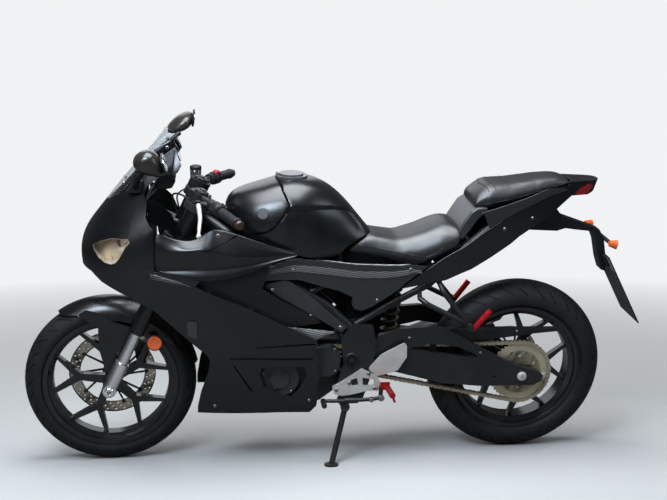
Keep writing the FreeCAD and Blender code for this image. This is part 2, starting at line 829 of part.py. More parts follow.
TAIL_LEVELS = [
    (600, 440, 118),
    (760, 460, 134),
    (900, 440, 122),
    (1000, 420, 92),
]


def tail_body(inset):
    """Tail fairing, pointed at the rear, so X runs from the tip forward."""
    levels = []
    for height, front, half in TAIL_LEVELS:
        tip = -262.0 + 0.35 * (1000 - height)
        curve = [
            (-tip, 0.0),
            (-tip - 6, 0.25 * half),
            (-tip - 60, 0.50 * half),
            (-tip - 190, 0.82 * half),
            (-tip - 340, 0.97 * half),
            (-tip - 480, half),
            (-front, half),
        ]
        levels.append((height, curve))
    body = plan_loft(levels, inset)
    return body.mirror(vec(0, 0, 0), vec(1, 0, 0))


TAIL_UPPER = [(439, 634), (357, 699), (291, 747), (225, 784), (160, 832), (137, 846),
              (45, 896), (-75, 943), (-139, 956)]
TAIL_LOWER = [(-151, 937), (-115, 910), (-85, 886), (37, 811), (66, 787), (133, 742),
              (199, 701), (233, 687), (283, 664)]
TAIL_PANEL = [(171, 895), (111, 911), (11, 941), (-96, 978), (-139, 956), (-75, 943),
              (45, 896), (137, 846), (148, 850), (160, 884)]


def tail_cowl(shell):
    return both(shell.common(plate(TAIL_UPPER + TAIL_LOWER, 20, 200)))


TAIL_LAMP = [(-158, 936), (-176, 957), (-214, 975), (-232, 966), (-215, 945), (-185, 920)]


def tail_tip(body, pillion):
    region = [(-96, 978), (-139, 956), (-151, 937), (-210, 936), (-280, 960), (-280, 985), (-150, 985)]
    tip = body.common(plate(region, -200, 200)).cut(pillion)
    return tip.cut(plate(TAIL_LAMP, -200, 200))


def tail_lamp(body):
    """Red lamp let into the tail's lower edge."""
    return body.common(plate(TAIL_LAMP, -200, 200)).common(block(-280, -140, -70, 70, 937, 1000))


def tail_panels(shell, pillion):
    return both(shell.common(plate(TAIL_PANEL, 20, 200)).cut(pillion))


# Frame and engine


def frame():
    head_low = (steer_x(HEAD_TUBE_LOW_Z), 0, HEAD_TUBE_LOW_Z)
    head_high = (steer_x(HEAD_TUBE_HIGH_Z), 0, HEAD_TUBE_HIGH_Z)
    tubes = [rod(head_low, head_high, HEAD_TUBE_R)]
    for side in (-1, 1):
        y = side * 122.0
        tubes.append(tube([(steer_x(870), side * 20, 870), (1020, side * 78, 830), (930, y, 745),
                           (801, y, 655), (690, y, 585), (600, side * 125, 500)], FRAME_TUBE_R, 60))
        tubes.append(tube([(steer_x(795), side * 18, 795), (1050, side * 68, 700),
                           (1015, side * 92, 600), (985, side * 96, 470)], 14, 60))
        outline = [(637, 473), (597, 519), (529, 517), (516, 452), (530, 336), (560, 240),
                   (640, 232), (640, 330), (624, 375)]
        y0 = PIVOT_PLATE_Y if side > 0 else -PIVOT_PLATE_Y - PIVOT_PLATE_THICK
        tubes.append(plate(outline, y0, y0 + PIVOT_PLATE_THICK, 12))
    tubes.append(cross_rod(575, 490, -PIVOT_PLATE_Y - 2, PIVOT_PLATE_Y + 2, 14))
    tubes.append(cross_rod(LOWER_CROSS_X, LOWER_CROSS_Z, -PIVOT_PLATE_Y - 2, PIVOT_PLATE_Y + 2, 12))
    body = fuse(tubes)
    bore = rod((steer_x(740), 0, 740), (steer_x(950), 0, 950), STEM_R + RUNNING_GAP)
    pivot = cross_rod(PIVOT_X, PIVOT_Z, -200, 200, PIVOT_SHAFT_R)
    return body.cut(bore).cut(pivot)


def subframe(main_frame, tail_inner):
    tubes = [
        cross_rod(200, 785, -150, 150, 9).common(tail_inner),
        cross_rod(-50, 903, -150, 150, 8).common(tail_inner),
    ]
    for side in (-1, 1):
        y = side * 96.0
        tubes.append(tube([(750, side * 118, 622), (640, side * 100, 680), (560, y, 698), (300, y, 706),
                           (120, y, 850), (-60, side * 60, 908)], RAIL_TUBE_R, 60))
        tubes.append(tube([(586, side * 125, 515), (435, side * 104, 592), (334, side * 98, 643),
                           (180, y, 800)], RAIL_TUBE_R, 60))
    tubes.append(cross_rod(SHOCK_TOP[0], SHOCK_TOP[1], -96, 96, 12))
    return fuse(tubes).cut(main_frame)


def tank_mounts(main_frame, rails, tank):
    """Rubber-bushed posts that carry the tank on frame and rails."""
    shapes = []
    for side in (-1, 1):
        shapes.append(rod((925, side * 118, 745), (925, side * 96, 850), 10))
        shapes.append(rod((640, side * 98, 682), (640, side * 76, 790), 9))
    return Part.makeCompound(shapes).cut(main_frame).cut(rails).cut(tank)


def engine(main_frame):
    """Crankcase, twin cylinder block and head as one plain mass."""
    case = plate([(985, 250), (985, 400), (930, 430), (720, 440), (620, 440), (616, 330),
                  (640, 260), (700, 215), (950, 215)], -GEARBOX_HALF, GEARBOX_HALF, 12)
    wide = plate([(965, 262), (965, 395), (930, 425), (752, 425), (735, 320), (760, 245),
                  (945, 240)], -124, 124, 14)
    barrel = plate([(760, 420), (945, 420), (1000, 600), (985, 655), (860, 690), (820, 640)], -98, 98, 14)
    mounts = cross_rod(628, 300, -PIVOT_PLATE_Y, PIVOT_PLATE_Y, 12)
    front_mount = cross_rod(972, 482, -100, 100, 13)
    return fuse([case, wide, barrel, mounts, front_mount]).cut(main_frame)


SPROCKET_COVER = [(737, 336), (750, 408), (716, 432), (668, 438), (638, 420), (632, 384),
                  (640, 344), (668, 324), (710, 322)]


def engine_covers():
    """Generator and clutch covers, and the cover over the front sprocket."""
    left = cross_rod(842, 332, 124, 146, 66)
    right = cross_rod(850, 334, -146, -124, 70)
    boss = cross_rod(842, 332, 146, 152, 34)
    sprocket = plate(SPROCKET_COVER, CHAIN_Y + CHAIN_WIDTH / 2 + 3, 122, 10)
    return Part.makeCompound([fuse([left, boss]), right, sprocket])


def radiator(main_frame):
    core = plate([(1104, 508), (1130, 512), (1092, 700), (1066, 696)], -150, 150, 3)
    lugs = [rod((1020, side * 92, 600), (1088, side * 92, 606), 7) for side in (-1, 1)]
    return fuse([core] + lugs).cut(main_frame)


def swingarm():
    """Box-section arms about the rear wheel, joined at the pivot."""
    beam = [(622, 372), (622, 414), (526, 434), (415, 413), (325, 402), (184, 368), (76, 339),
            (-32, 334), (-61, 325), (-76, 311), (-70, 290), (-40, 276), (144, 278), (286, 293),
            (328, 306), (445, 339)]
    brace = [(526, 434), (507, 470), (466, 480), (432, 493), (329, 498), (276, 490), (223, 463),
             (150, 417), (78, 378), (4, 343), (-66, 318), (-40, 300), (78, 322), (160, 362)]
    window = [(415, 420), (360, 430), (326, 438), (228, 423), (177, 399), (150, 380), (219, 388),
              (289, 400), (359, 412)]
    arms = []
    for y0 in (ARM_INNER_Y, -ARM_INNER_Y - ARM_THICK):
        arms.append(plate(beam, y0, y0 + ARM_THICK, 8))
        upper = plate(brace, y0 + 4, y0 + ARM_THICK - 4, 8)
        arms.append(upper.cut(plate(window, y0, y0 + ARM_THICK, 6)))
    cross = block(430, 500, -ARM_INNER_Y - 1, ARM_INNER_Y + 1, 352, 398)
    pivot = cross_rod(PIVOT_X, PIVOT_Z, -ARM_INNER_Y - 1, ARM_INNER_Y + 1, 18)
    body = fuse(arms + [cross, pivot])
    body = body.cut(cross_rod(PIVOT_X, PIVOT_Z, -200, 200, PIVOT_SHAFT_R))
    body = body.cut(cross_rod(0, REAR_TYRE_R, -200, 200, REAR_AXLE_R))
    outer = ARM_INNER_Y + ARM_THICK
    thread = cross_rod(SPOOL_X, SPOOL_Z, outer - SPOOL_DEPTH, outer + 5, SPOOL_THREAD_R)
    return body.cut(thread).cut(mirrored(thread))


ARM_INNER_Y = 101.0
ARM_THICK = 28.0
SPOOL_X = 96.0
SPOOL_Z = 312.0
SPOOL_THREAD_R = 3.4
SPOOL_DEPTH = 20.0


def axles():
    rear = cross_rod(0, REAR_TYRE_R, -ARM_INNER_Y - ARM_THICK - 8, ARM_INNER_Y + ARM_THICK + 8, REAR_AXLE_R)
    pivot = cross_rod(PIVOT_X, PIVOT_Z, -PIVOT_PLATE_Y - 16, PIVOT_PLATE_Y + 16, PIVOT_SHAFT_R)
    return Part.makeCompound([rear, pivot])


# Steering


def yoke(z, thick, clamp_r):
    """Fork bridge, square to the steering axis."""
    shapes = [Part.makeCylinder(34, thick, vec(0, 0, -thick / 2))]
    offset = AXLE_OFFSET_X * math.cos(math.radians(RAKE_DEG))
    for side in (-1, 1):
        y = side * FORK_HALF_SPREAD
        shapes.append(Part.makeCylinder(clamp_r, thick, vec(offset, y, -thick / 2)))
        wire = Part.makePolygon([vec(-24, side * 8, -thick / 2), vec(30, 0, -thick / 2),
                                 vec(offset + 24, y - side * 18, -thick / 2),
                                 vec(offset - 22, y, -thick / 2), vec(-24, side * 8, -thick / 2)])
        shapes.append(Part.Face(wire).extrude(vec(0, 0, thick)))
    bridge = fuse(shapes)
    for side in (-1, 1):
        bridge = bridge.cut(Part.makeCylinder(FORK_TUBE_R, 2 * thick,
                                              vec(offset, side * FORK_HALF_SPREAD, -thick)))
    bridge.rotate(vec(0, 0, 0), vec(0, 1, 0), -RAKE_DEG)
    bridge.translate(vec(steer_x(z), 0, z))
    return bridge


def triple_clamps():
    stem = rod((steer_x(LOWER_YOKE_Z), 0, LOWER_YOKE_Z), (steer_x(UPPER_YOKE_Z), 0, UPPER_YOKE_Z), STEM_R)
    body = fuse([yoke(UPPER_YOKE_Z, YOKE_THICK, 38), yoke(LOWER_YOKE_Z, YOKE_THICK, 40), stem])
    return body.cut(rod((steer_x(640), 0, 640), (steer_x(800), 0, 800), STEM_BORE_R))


def fork_tubes():
    shapes = []
    for side in (-1, 1):
        y = side * FORK_HALF_SPREAD
        shapes.append(rod((fork_x(FORK_TUBE_BOTTOM_Z), y, FORK_TUBE_BOTTOM_Z),
                          (fork_x(FORK_TOP_Z), y, FORK_TOP_Z), FORK_TUBE_R))
    return Part.makeCompound(shapes)


def fork_sliders():
    shapes = []
    for side in (-1, 1):
        y = side * FORK_HALF_SPREAD
        slider = rod((fork_x(330), y, 330), (fork_x(FORK_TUBE_BOTTOM_Z), y, FORK_TUBE_BOTTOM_Z),
                     FORK_SLIDER_R)
        casting = rod((fork_x(285), y, 285), (fork_x(385), y, 385), 25)
        lug = cross_rod(WHEELBASE, FRONT_TYRE_R, y - 24, y + 24, 22)
        leg = fuse([slider, casting, lug]).cut(cross_rod(WHEELBASE, FRONT_TYRE_R, -200, 200, FRONT_AXLE_R))
        shapes.append(leg)
    return Part.makeCompound(shapes)


def front_axle():
    reach = FORK_HALF_SPREAD + 28
    return cross_rod(WHEELBASE, FRONT_TYRE_R, -reach, reach, FRONT_AXLE_R)


FENDER_GAP = 8.0
FENDER_WALL = 4.0
FENDER_HOOD = [(1604, 546), (1559, 536), (1513, 540), (1480, 522), (1440, 500), (1380, 500),
               (1330, 470), (1262, 470), (1180, 420), (1128, 352), (1060, 352), (1060, 760), (1680, 760)]
FENDER_SIDE = [(1513, 543), (1480, 525), (1460, 511), (1444, 501), (1443, 470), (1441, 415),
               (1431, 372), (1408, 318), (1390, 345), (1359, 387), (1341, 432), (1327, 468),
               (1340, 500), (1400, 522), (1430, 546), (1480, 562)]


def fender_arc(half):
    """Points of the fender's cross section, over the tyre from left to right."""
    middle = FRONT_TYRE_R - FRONT_CROWN_R
    points = []
    for index in range(9):
        angle = math.radians(-92 + 23 * index)
        points.append((half * math.sin(angle), middle + half * math.cos(angle)))
    return points


def front_fender(legs):
    """Mudguard over the tyre with a side plate on each fork leg."""
    inner_half = FRONT_CROWN_R + FENDER_GAP
    outer = inner_half + FENDER_WALL
    profile = fender_arc(outer) + list(reversed(fender_arc(inner_half)))
    pairs = [(profile[i], profile[(i + 1) % len(profile)]) for i in range(len(profile))]
    ring = wheel_profile(pairs, WHEELBASE, FRONT_TYRE_R)
    hood = ring.common(plate(FENDER_HOOD, -100, 100))
    side = plate(FENDER_SIDE, inner_half, outer, 8)
    tab = plate([(1400, 420), (1340, 424), (1330, 456), (1380, 470)], inner_half, outer, 6)
    boss = cross_rod(1346, 440, inner_half, FORK_HALF_SPREAD - 10, 8)
    return fuse([hood, side, mirrored(side), tab, mirrored(tab), boss, mirrored(boss)]).cut(legs)


BAR_TIP = (988.0, 352.0, 928.0)


def bar_root(side):
    """Start of a clip-on's tube at its clamp round the fork tube."""
    return vec(fork_x(BAR_CLAMP_Z) - 6, side * (FORK_HALF_SPREAD + 20), BAR_CLAMP_Z + 4)


def bar_tip(side):
    return vec(BAR_TIP[0], side * BAR_TIP[1], BAR_TIP[2])


def handlebars():
    shapes = []
    for side in (-1, 1):
        inner = tuple(bar_root(side))
        outer = tuple(bar_tip(side))
        clamp = rod((fork_x(BAR_CLAMP_Z - 15), side * FORK_HALF_SPREAD, BAR_CLAMP_Z - 15),
                    (fork_x(BAR_CLAMP_Z + 15), side * FORK_HALF_SPREAD, BAR_CLAMP_Z + 15), 36)
        hole = rod((fork_x(800), side * FORK_HALF_SPREAD, 800),
                   (fork_x(1100), side * FORK_HALF_SPREAD, 1100), FORK_TUBE_R)
        shapes.append(fuse([clamp.cut(hole), rod(inner, outer, BAR_R).cut(hole)]))
    return Part.makeCompound(shapes)


def grips():
    shapes = []
    for side in (-1, 1):
        start = bar_root(side)
        end = bar_tip(side)
        along = end - start
        along.normalize()
        inner = end - along * 120
        grip = Part.makeCylinder(GRIP_R, 118, inner, along)
        core = Part.makeCylinder(BAR_R, 130, inner - along * 5, along)
        plug = Part.makeCylinder(15, 16, end, along)
        shapes += [grip.cut(core), plug]
    return Part.makeCompound(shapes)


# Side stand


def side_stand():
    """Leg with a foot pad that lies flat on the ground in the lean."""
    pivot = vec(*STAND_PIVOT)
    foot = vec(*STAND_FOOT)
    leg = Part.makeCylinder(STAND_R, (foot - pivot).Length - 6, pivot, foot - pivot)
    up = vec(0, -math.sin(LEAN), math.cos(LEAN))
    pad = Part.makeCylinder(24, 7, foot, up)
    axis = stand_axis()
    eye = Part.makeCylinder(16, 2 * STAND_EYE_HALF, pivot - axis * STAND_EYE_HALF, axis)
    return fuse([leg, pad, eye]).cut(Part.makeCylinder(5 + RUNNING_GAP, 40, pivot - axis * 20, axis))


def stand_axis():
    """Stand pivot direction: square to the leg both down and folded back."""
    down = vec(*STAND_FOOT) - vec(*STAND_PIVOT)
    down.normalize()
    folded = vec(-0.99, 0.05, 0.12)
    axis = down.cross(folded)
    axis.normalize()
    return axis


def stand_bracket(main_frame):
    """Fork-shaped lug under the pivot plate with the stand's pin."""
    axis = stand_axis()
    pivot = vec(*STAND_PIVOT)
    pin = Part.makeCylinder(5, 44, pivot - axis * 22, axis)
    near = STAND_EYE_HALF + STAND_GAP
    inner = Part.makeCylinder(15, 6, pivot - axis * (near + 6), axis)
    outer = Part.makeCylinder(15, 6, pivot + axis * near, axis)
    away = pivot - vec(*STAND_FOOT)
    away.normalize()
    ahead = axis.cross(away)
    if ahead.x < 0:
        ahead = ahead * -1
    bridge_at = pivot + (away + ahead) * 23
    bridge = Part.makeCylinder(11, 2 * near + 12, bridge_at - axis * (near + 6), axis)
    cheeks = []
    for start in (-near - 6, near):
        cheeks.append(hull_bar(pivot + axis * start, bridge_at + axis * start, axis, 6, 11))
    post = Part.makeCylinder(9, (vec(LOWER_CROSS_X, 112, LOWER_CROSS_Z) - bridge_at).Length, bridge_at,
                             vec(LOWER_CROSS_X, 112, LOWER_CROSS_Z) - bridge_at)
    eye_room = Part.makeCylinder(19, 2 * near, pivot - axis * near, axis)
    body = fuse([inner, outer, bridge, post] + cheeks).cut(eye_room)
    return fuse([body, pin]).cut(main_frame)


def hull_bar(start, end, axis, thick, half_width):
    """Flat link between two points, with its thickness along an axis."""
    along = end - start
    along.normalize()
    side = axis.cross(along) * half_width
    corners = [start - side, end - side, end + side, start + side, start - side]
    return Part.Face(Part.makePolygon(corners)).extrude(axis * thick)


# Exhaust


PIPE_R = 17.0
SILENCER_R = 50.0


def exhaust_pipe():
    """Two headers that meet under the engine and run out to the right."""
    shapes = []
    for side in (-1, 1):
        shapes.append(tube([(985, side * 42, 585), (1042, side * 42, 560), (1046, side * 40, 400),
                            (1012, side * 34, 196), (900, side * 24, 188)], PIPE_R, 45))
    shapes.append(block(740, 910, -58, 50, 166, 206))
    shapes.append(tube([(760, -30, 188), (690, -60, 190), (590, -150, 205), (480, -186, 268),
                        (408, -190, 306)], PIPE_R, 60))
    return fuse(shapes)


def silencer():
    """Short upswept can with a tapered front and a plugged outlet."""
    start = vec(410, -190, 305)
    along = vec(22, -192, 452) - start
    length = along.Length
    along.normalize()
    cone = Part.makeCone(PIPE_R + 6, SILENCER_R, 70, start, along)
    can = Part.makeCylinder(SILENCER_R, length - 70, start + along * 70, along)
    cap = Part.makeCone(SILENCER_R, SILENCER_R - 14, 24, start + along * length, along)
    outlet = Part.makeCylinder(18, 40, start + along * (length + 4), along)
    return fuse([cone, can, cap]).cut(outlet)


# Fittings on the chassis


SHOCK_TOP = (430.0, 694.0)
SHOCK_FOOT = (456.0, 404.0)
SPRING_TURNS = 7
LOWER_CROSS_X = 590.0
LOWER_CROSS_Z = 262.0


def shock_absorber(arm):
    """Damper with a coil spring between the swingarm and the rails."""
    foot = vec(SHOCK_FOOT[0], 0, SHOCK_FOOT[1])
    top = vec(SHOCK_TOP[0], 0, SHOCK_TOP[1])
    along = top - foot
    length = along.Length
    along.normalize()
    eye = cross_rod(SHOCK_FOOT[0], SHOCK_FOOT[1], -22, 22, 14)
    head = cross_rod(SHOCK_TOP[0], SHOCK_TOP[1], -20, 20, 22)
    head = head.cut(cross_rod(SHOCK_TOP[0], SHOCK_TOP[1], -30, 30, RAIL_TUBE_R))
    shaft = Part.makeCylinder(14, length - 16, foot, along)
    shaft = shaft.cut(cross_rod(SHOCK_TOP[0], SHOCK_TOP[1], -30, 30, RAIL_TUBE_R + 4))
    shapes = [eye, head, shaft]
    pitch = 0.62 * length / SPRING_TURNS
    for turn in range(SPRING_TURNS):
        base = foot + along * (0.16 * length + turn * pitch)
        shapes.append(Part.makeCone(27, 33, pitch / 2, base, along))
        shapes.append(Part.makeCone(33, 27, pitch / 2, base + along * (pitch / 2), along))
    return fuse(shapes).cut(arm)


def fairing_stay(inner_body, main_frame, panel):
    """Forward bracket from the head tube that carries nose and dash."""
    shapes = [
        rod((steer_x(838) + HEAD_TUBE_R - 3, 0, 838), (1290, 0, 868), 11),
        rod((1285, -230, 868), (1285, 230, 868), 9),
        tube([(1285, 60, 868), (1262, 60, 940), (1222, 60, 985)], 7, 30),
        tube([(1285, -60, 868), (1262, -60, 940), (1222, -60, 985)], 7, 30),
    ]
    return fuse(shapes).common(inner_body).cut(main_frame).cut(panel)


def instrument_panel():
    """Dash housing behind the screen."""
    return plate([(1236, 968), (1250, 990), (1200, 1046), (1168, 1036), (1190, 985)], -78, 78, 10)


def cowl_posts(inner_body):
    """Spacers between the engine's sides and the lower side cowls."""
    post = cross_rod(944, 330, 124, 260, 9).common(inner_body)
    return both(post)


def side_beams(main_frame, rails):
    """Long panels under tank and seat, on bosses."""
    outline = [(975, 689), (893, 718), (812, 748), (779, 752), (681, 742), (595, 730), (498, 725),
               (438, 724), (408, 727), (354, 719), (429, 661), (445, 644), (494, 610), (537, 583),
               (570, 570), (594, 577), (605, 595), (602, 619), (646, 641), (712, 660), (779, 682),
               (844, 683), (942, 678)]
    bosses = [cross_rod(850, 700, 122, COVER_Y, 8), cross_rod(470, 698, 96, COVER_Y, 8)]
    return both(fuse([plate(outline, COVER_Y, COVER_Y + 8)] + bosses).cut(main_frame).cut(rails))


COVER_Y = 142.0


def frame_covers(main_frame):
    outline = [(903, 664), (827, 680), (804, 672), (724, 608), (669, 558), (618, 514), (635, 493),
               (709, 541), (777, 581), (843, 621)]
    bosses = [cross_rod(748, 608, 122, COVER_Y, 8), cross_rod(652, 534, 122, COVER_Y, 7)]
    return both(fuse([plate(outline, COVER_Y, COVER_Y + 6, 6)] + bosses).cut(main_frame))


def chain_guard():
    """Long guard above the chain, screwed to the left arm."""
    inner = CHAIN_Y + CHAIN_WIDTH / 2 + 2
    outer = ARM_INNER_Y
    side = plate([(430, 478), (155, 481), (-122, 475), (-130, 463), (-31, 455), (75, 442),
                  (153, 437), (250, 436), (300, 436), (300, 392), (322, 392), (322, 440), (430, 446)],
                 inner, outer)
    top = plate([(430, 478), (155, 481), (-122, 475), (-122, 471), (155, 477), (430, 474)], 82, inner)
    return fuse([side, top])


REARSET = [(665, 299), (644, 309), (604, 334), (564, 362), (550, 354), (512, 338), (493, 298),
           (500, 283), (548, 281), (575, 274), (602, 268), (630, 265), (657, 273)]
REARSET_Y = PIVOT_PLATE_Y + PIVOT_PLATE_THICK
REARSET_THICK = 9.0


def rearsets():
    """Alloy footpeg brackets with heel guards, pegs and their pivots."""
    heel = [(543, 361), (500, 411), (436, 445), (419, 452), (412, 441), (411, 401), (424, 380),
            (440, 355), (467, 344), (511, 335)]
    front_hole = [(602, 322), (580, 330), (574, 302), (596, 300)]
    rear_hole = [(562, 330), (520, 322), (520, 300), (558, 300)]
    y1 = REARSET_Y + REARSET_THICK
    bracket = plate(REARSET, REARSET_Y, y1, 8)
    bracket = bracket.cut(plate(front_hole, REARSET_Y - 1, y1 + 1, 4))
    bracket = bracket.cut(plate(rear_hole, REARSET_Y - 1, y1 + 1, 4))
    guard = plate(heel, REARSET_Y + 3, y1, 10)
    return both(fuse([bracket, guard]))


def foot_pegs():
    y1 = REARSET_Y + REARSET_THICK
    hinge = block(468, 500, y1, y1 + 12, 288, 312)
    peg = rod((480, y1 + 12, 302), (474, 256, 306), 10)
    feeler = rod((474, 250, 306), (466, 254, 282), 4)
    return both(fuse([hinge, peg, feeler]))


def foot_controls():
    """Shift pedal and rod on the left, brake pedal on the right."""
    y1 = REARSET_Y + REARSET_THICK
    pedal = plate([(508, 296), (512, 282), (610, 292), (622, 300), (618, 312), (600, 306)], y1, y1 + 8, 4)
    toe = cross_rod(614, 302, y1 + 6, y1 + 42, 7)
    shift = fuse([pedal, toe])
    return Part.makeCompound([shift, mirrored(shift)])


def folded_pegs():
    """Pillion pegs, folded up against their brackets."""
    return both(rod((190, 155, 496), (134, 164, 566), 10))


def silencer_hanger(can):
    """Strap from the right pillion bracket to the can."""
    return rod((200, -140, 500), (170, -191, 400), 8).cut(can)


def pillion_pegs():
    """Pillion footpeg brackets with the pins of the folded pegs."""
    front = tube([(368, 112, 598), (345, 132, 582), (200, 140, 508)], 9, 30)
    rear = tube([(301, 106, 650), (290, 130, 622), (200, 140, 508)], 9, 30)
    pin = cross_rod(198, 505, 126, 166, 12)
    lugs = [rod((368, 102, 624), (368, 114, 596), 8), rod((301, 98, 676), (301, 110, 646), 8)]
    return fuse([front, rear, pin] + lugs)


def front_caliper():
    """Caliper astride the disc, on the right fork leg."""
    axle = (WHEELBASE, FRONT_TYRE_R)
    outline = [(1296, 330), (1282, 372), (1296, 412), (1330, 424), (1352, 400), (1330, 372), (1328, 344)]
    body = plate(outline, -92, -38, 8)
    slot = cross_rod(axle[0], axle[1], -64.5, -54.5, FRONT_DISC_R + 4)
    lug = plate([(1330, 372), (1352, 400), (1372, 385), (1366, 350)], -100, -90)
    leg = rod((fork_x(285), -FORK_HALF_SPREAD, 285), (fork_x(440), -FORK_HALF_SPREAD, 440), 25)
    return fuse([body.cut(slot), lug]).cut(leg)


def rear_caliper():
    outline = [(42, 392), (60, 440), (104, 430), (128, 388), (96, 366), (64, 384)]
    body = plate(outline, -98, -54, 8)
    slot = cross_rod(0, REAR_TYRE_R, -REAR_HUB_HALF - DISC_THICK - 2, -REAR_HUB_HALF + 2, REAR_DISC_R + 4)
    outline = [(-14, 300), (-14, 330), (60, 400), (84, 380), (30, 310), (14, 296)]
    bracket = plate(outline, -ARM_INNER_Y, -86, 6)
    bracket = bracket.cut(cross_rod(0, REAR_TYRE_R, -200, 0, REAR_AXLE_R))
    return fuse([body.cut(slot), bracket])


REFLECTOR = (1257.0, 455.0)
REFLECTOR_R = 27.0


def reflectors():
    """Round side reflectors on brackets behind the fork legs."""
    x, z = REFLECTOR
    disc = cross_rod(x, z, FORK_HALF_SPREAD + 6, FORK_HALF_SPREAD + 14, REFLECTOR_R)
    leg_x = fork_x(z)
    arm = block(x, leg_x - 12, FORK_HALF_SPREAD, FORK_HALF_SPREAD + 6, z - 7, z + 7)
    return both(fuse([disc, arm]))


def brake_hose():
    """Hose from the right caliper up behind the fork leg to the bar."""
    route = [(1318, -66, 415), (1288, -78, 470), (1228, -94, 572), (1192, -98, 650), (1138, -104, 756),
             (1100, -118, 846), (1086, -150, 896)]
    route += [tuple(bar_point(-1, 184, 26, 20)), tuple(bar_point(-1, 182, 26, 0))]
    return tube(route, HOSE_R, 24)


HOSE_R = 4.5


def mirror_head(centre, tilt_deg):
    """Mirror shell, wide across the bike, with a rounded back."""
    x, y, z = centre
    sections = []
    for across, size in ((-62, 0.62), (-30, 1.0), (30, 1.0), (62, 0.6)):
        points = []
        for dx, dz in ((-22, -40), (20, -24), (30, 22), (2, 42), (-26, 20)):
            points.append(vec(dx * size, y + across, dz * size))
        sections.append(rounded_path(points, 12 * size, True))
    head = Part.makeLoft(sections, True, True)
    head.rotate(vec(0, 0, 0), vec(0, 1, 0), tilt_deg)
    head.translate(vec(x, 0, z))
    return head


def mirrors(outer_body):
    """Mirrors on stalks; the right one is swung further back."""
    left = fuse([tube([(1300, 70, 985), (1296, 120, 1022), (1262, 262, 1104)], 9, 40),
                 mirror_head((1262, 315, 1122), 0)])
    right = fuse([tube([(1300, -70, 985), (1290, -120, 1022), (1172, -262, 1108)], 9, 40),
                  mirror_head((1160, -315, 1126), -20)])
    return Part.makeCompound([left.cut(outer_body), right.cut(outer_body)])


def front_indicators(body, grown):
    outline = [(1148, 564), (1116, 564), (1117, 505), (1146, 513)]
    return both(grown.common(plate(outline, 100, 300, 4)).cut(body))


def plate_holder(tail_inner, tip, plate_board):
    """Undertray and bracket that carry plate and rear indicators."""
    rise = 7
    tray = [(x, z) for x, z in TAIL_LOWER] + [(x, z + rise) for x, z in reversed(TAIL_LOWER)]
    tray = tail_inner.common(plate(tray, -200, 200))
    outline = [(37, 813), (-25, 808), (-120, 803), (-150, 812), (-192, 806), (-246, 800), (-262, 765),
               (-276, 700), (-290, 660), (-306, 655), (-300, 720), (-290, 775), (-272, 806), (-209, 829),
               (-136, 855), (-100, 899), (-85, 889)]
    arm = plate(outline, -26, 26)
    board = plate([(-284, 712), (-296, 716), (-312, 684), (-300, 680)], -60, 60)
    stalk = rod((-280, -112, 784), (-280, 112, 784), 7)
    return fuse([tray, arm, board, stalk]).cut(plate_board).cut(tip)


def number_plate():
    return plate([(-290, 722), (-418, 480), (-421, 482), (-293, 724)], -90, 90)


def rear_indicators(holder):
    stem = cross_rod(-280, 784, 112, 126, 6)
    head = Part.makeCone(10, 16, 26, vec(-272, 130, 786), vec(-1, 0.12, -0.18))
    return both(fuse([stem, head])).cut(holder)


# Controls on the handlebar


def bar_point(side, distance, ahead=0.0, drop=0.0):
    """Point at a distance from the bar's outer end, towards the fork."""
    start = bar_root(side)
    end = bar_tip(side)
    along = start - end
    along.normalize()
    return end + along * distance + vec(ahead, 0, -drop)


def bar_controls():
    """Switch housings, levers and the brake reservoir."""
    shapes = []
    for side in (-1, 1):
        inner = bar_point(side, 122)
        along = bar_point(side, 170) - inner
        along.normalize()
        hole = Part.makeCylinder(BAR_R, 300, inner - along * 100, along)
        housing = Part.makeCylinder(23, 42, inner, along)
        perch = Part.makeCylinder(19, 26, inner + along * 48, along)
        pivot = bar_point(side, 182, 44, -6)
        arm = rod(tuple(bar_point(side, 182, 8)), tuple(pivot), 9)
        knee = bar_point(side, 120, 82, 30)
        tip = bar_point(side, 20, 104, 44)
        lever = fuse([rod(tuple(pivot), tuple(knee), 6), rod(tuple(knee), tuple(tip), 5),
                      Part.makeSphere(8, tip), Part.makeSphere(6, knee)])
        shapes.append(fuse([housing, perch, arm, lever]).cut(hole))
    cup_base = bar_point(-1, 190, 46, -2)
    cup = Part.makeCylinder(17, 40, cup_base, vec(0, 0, 1))
    neck = rod(tuple(bar_point(-1, 182, 44, -6)), tuple(cup_base + vec(0, 0, 8)), 8)
    shapes[0] = fuse([shapes[0], cup, neck])
    return Part.makeCompound(shapes)


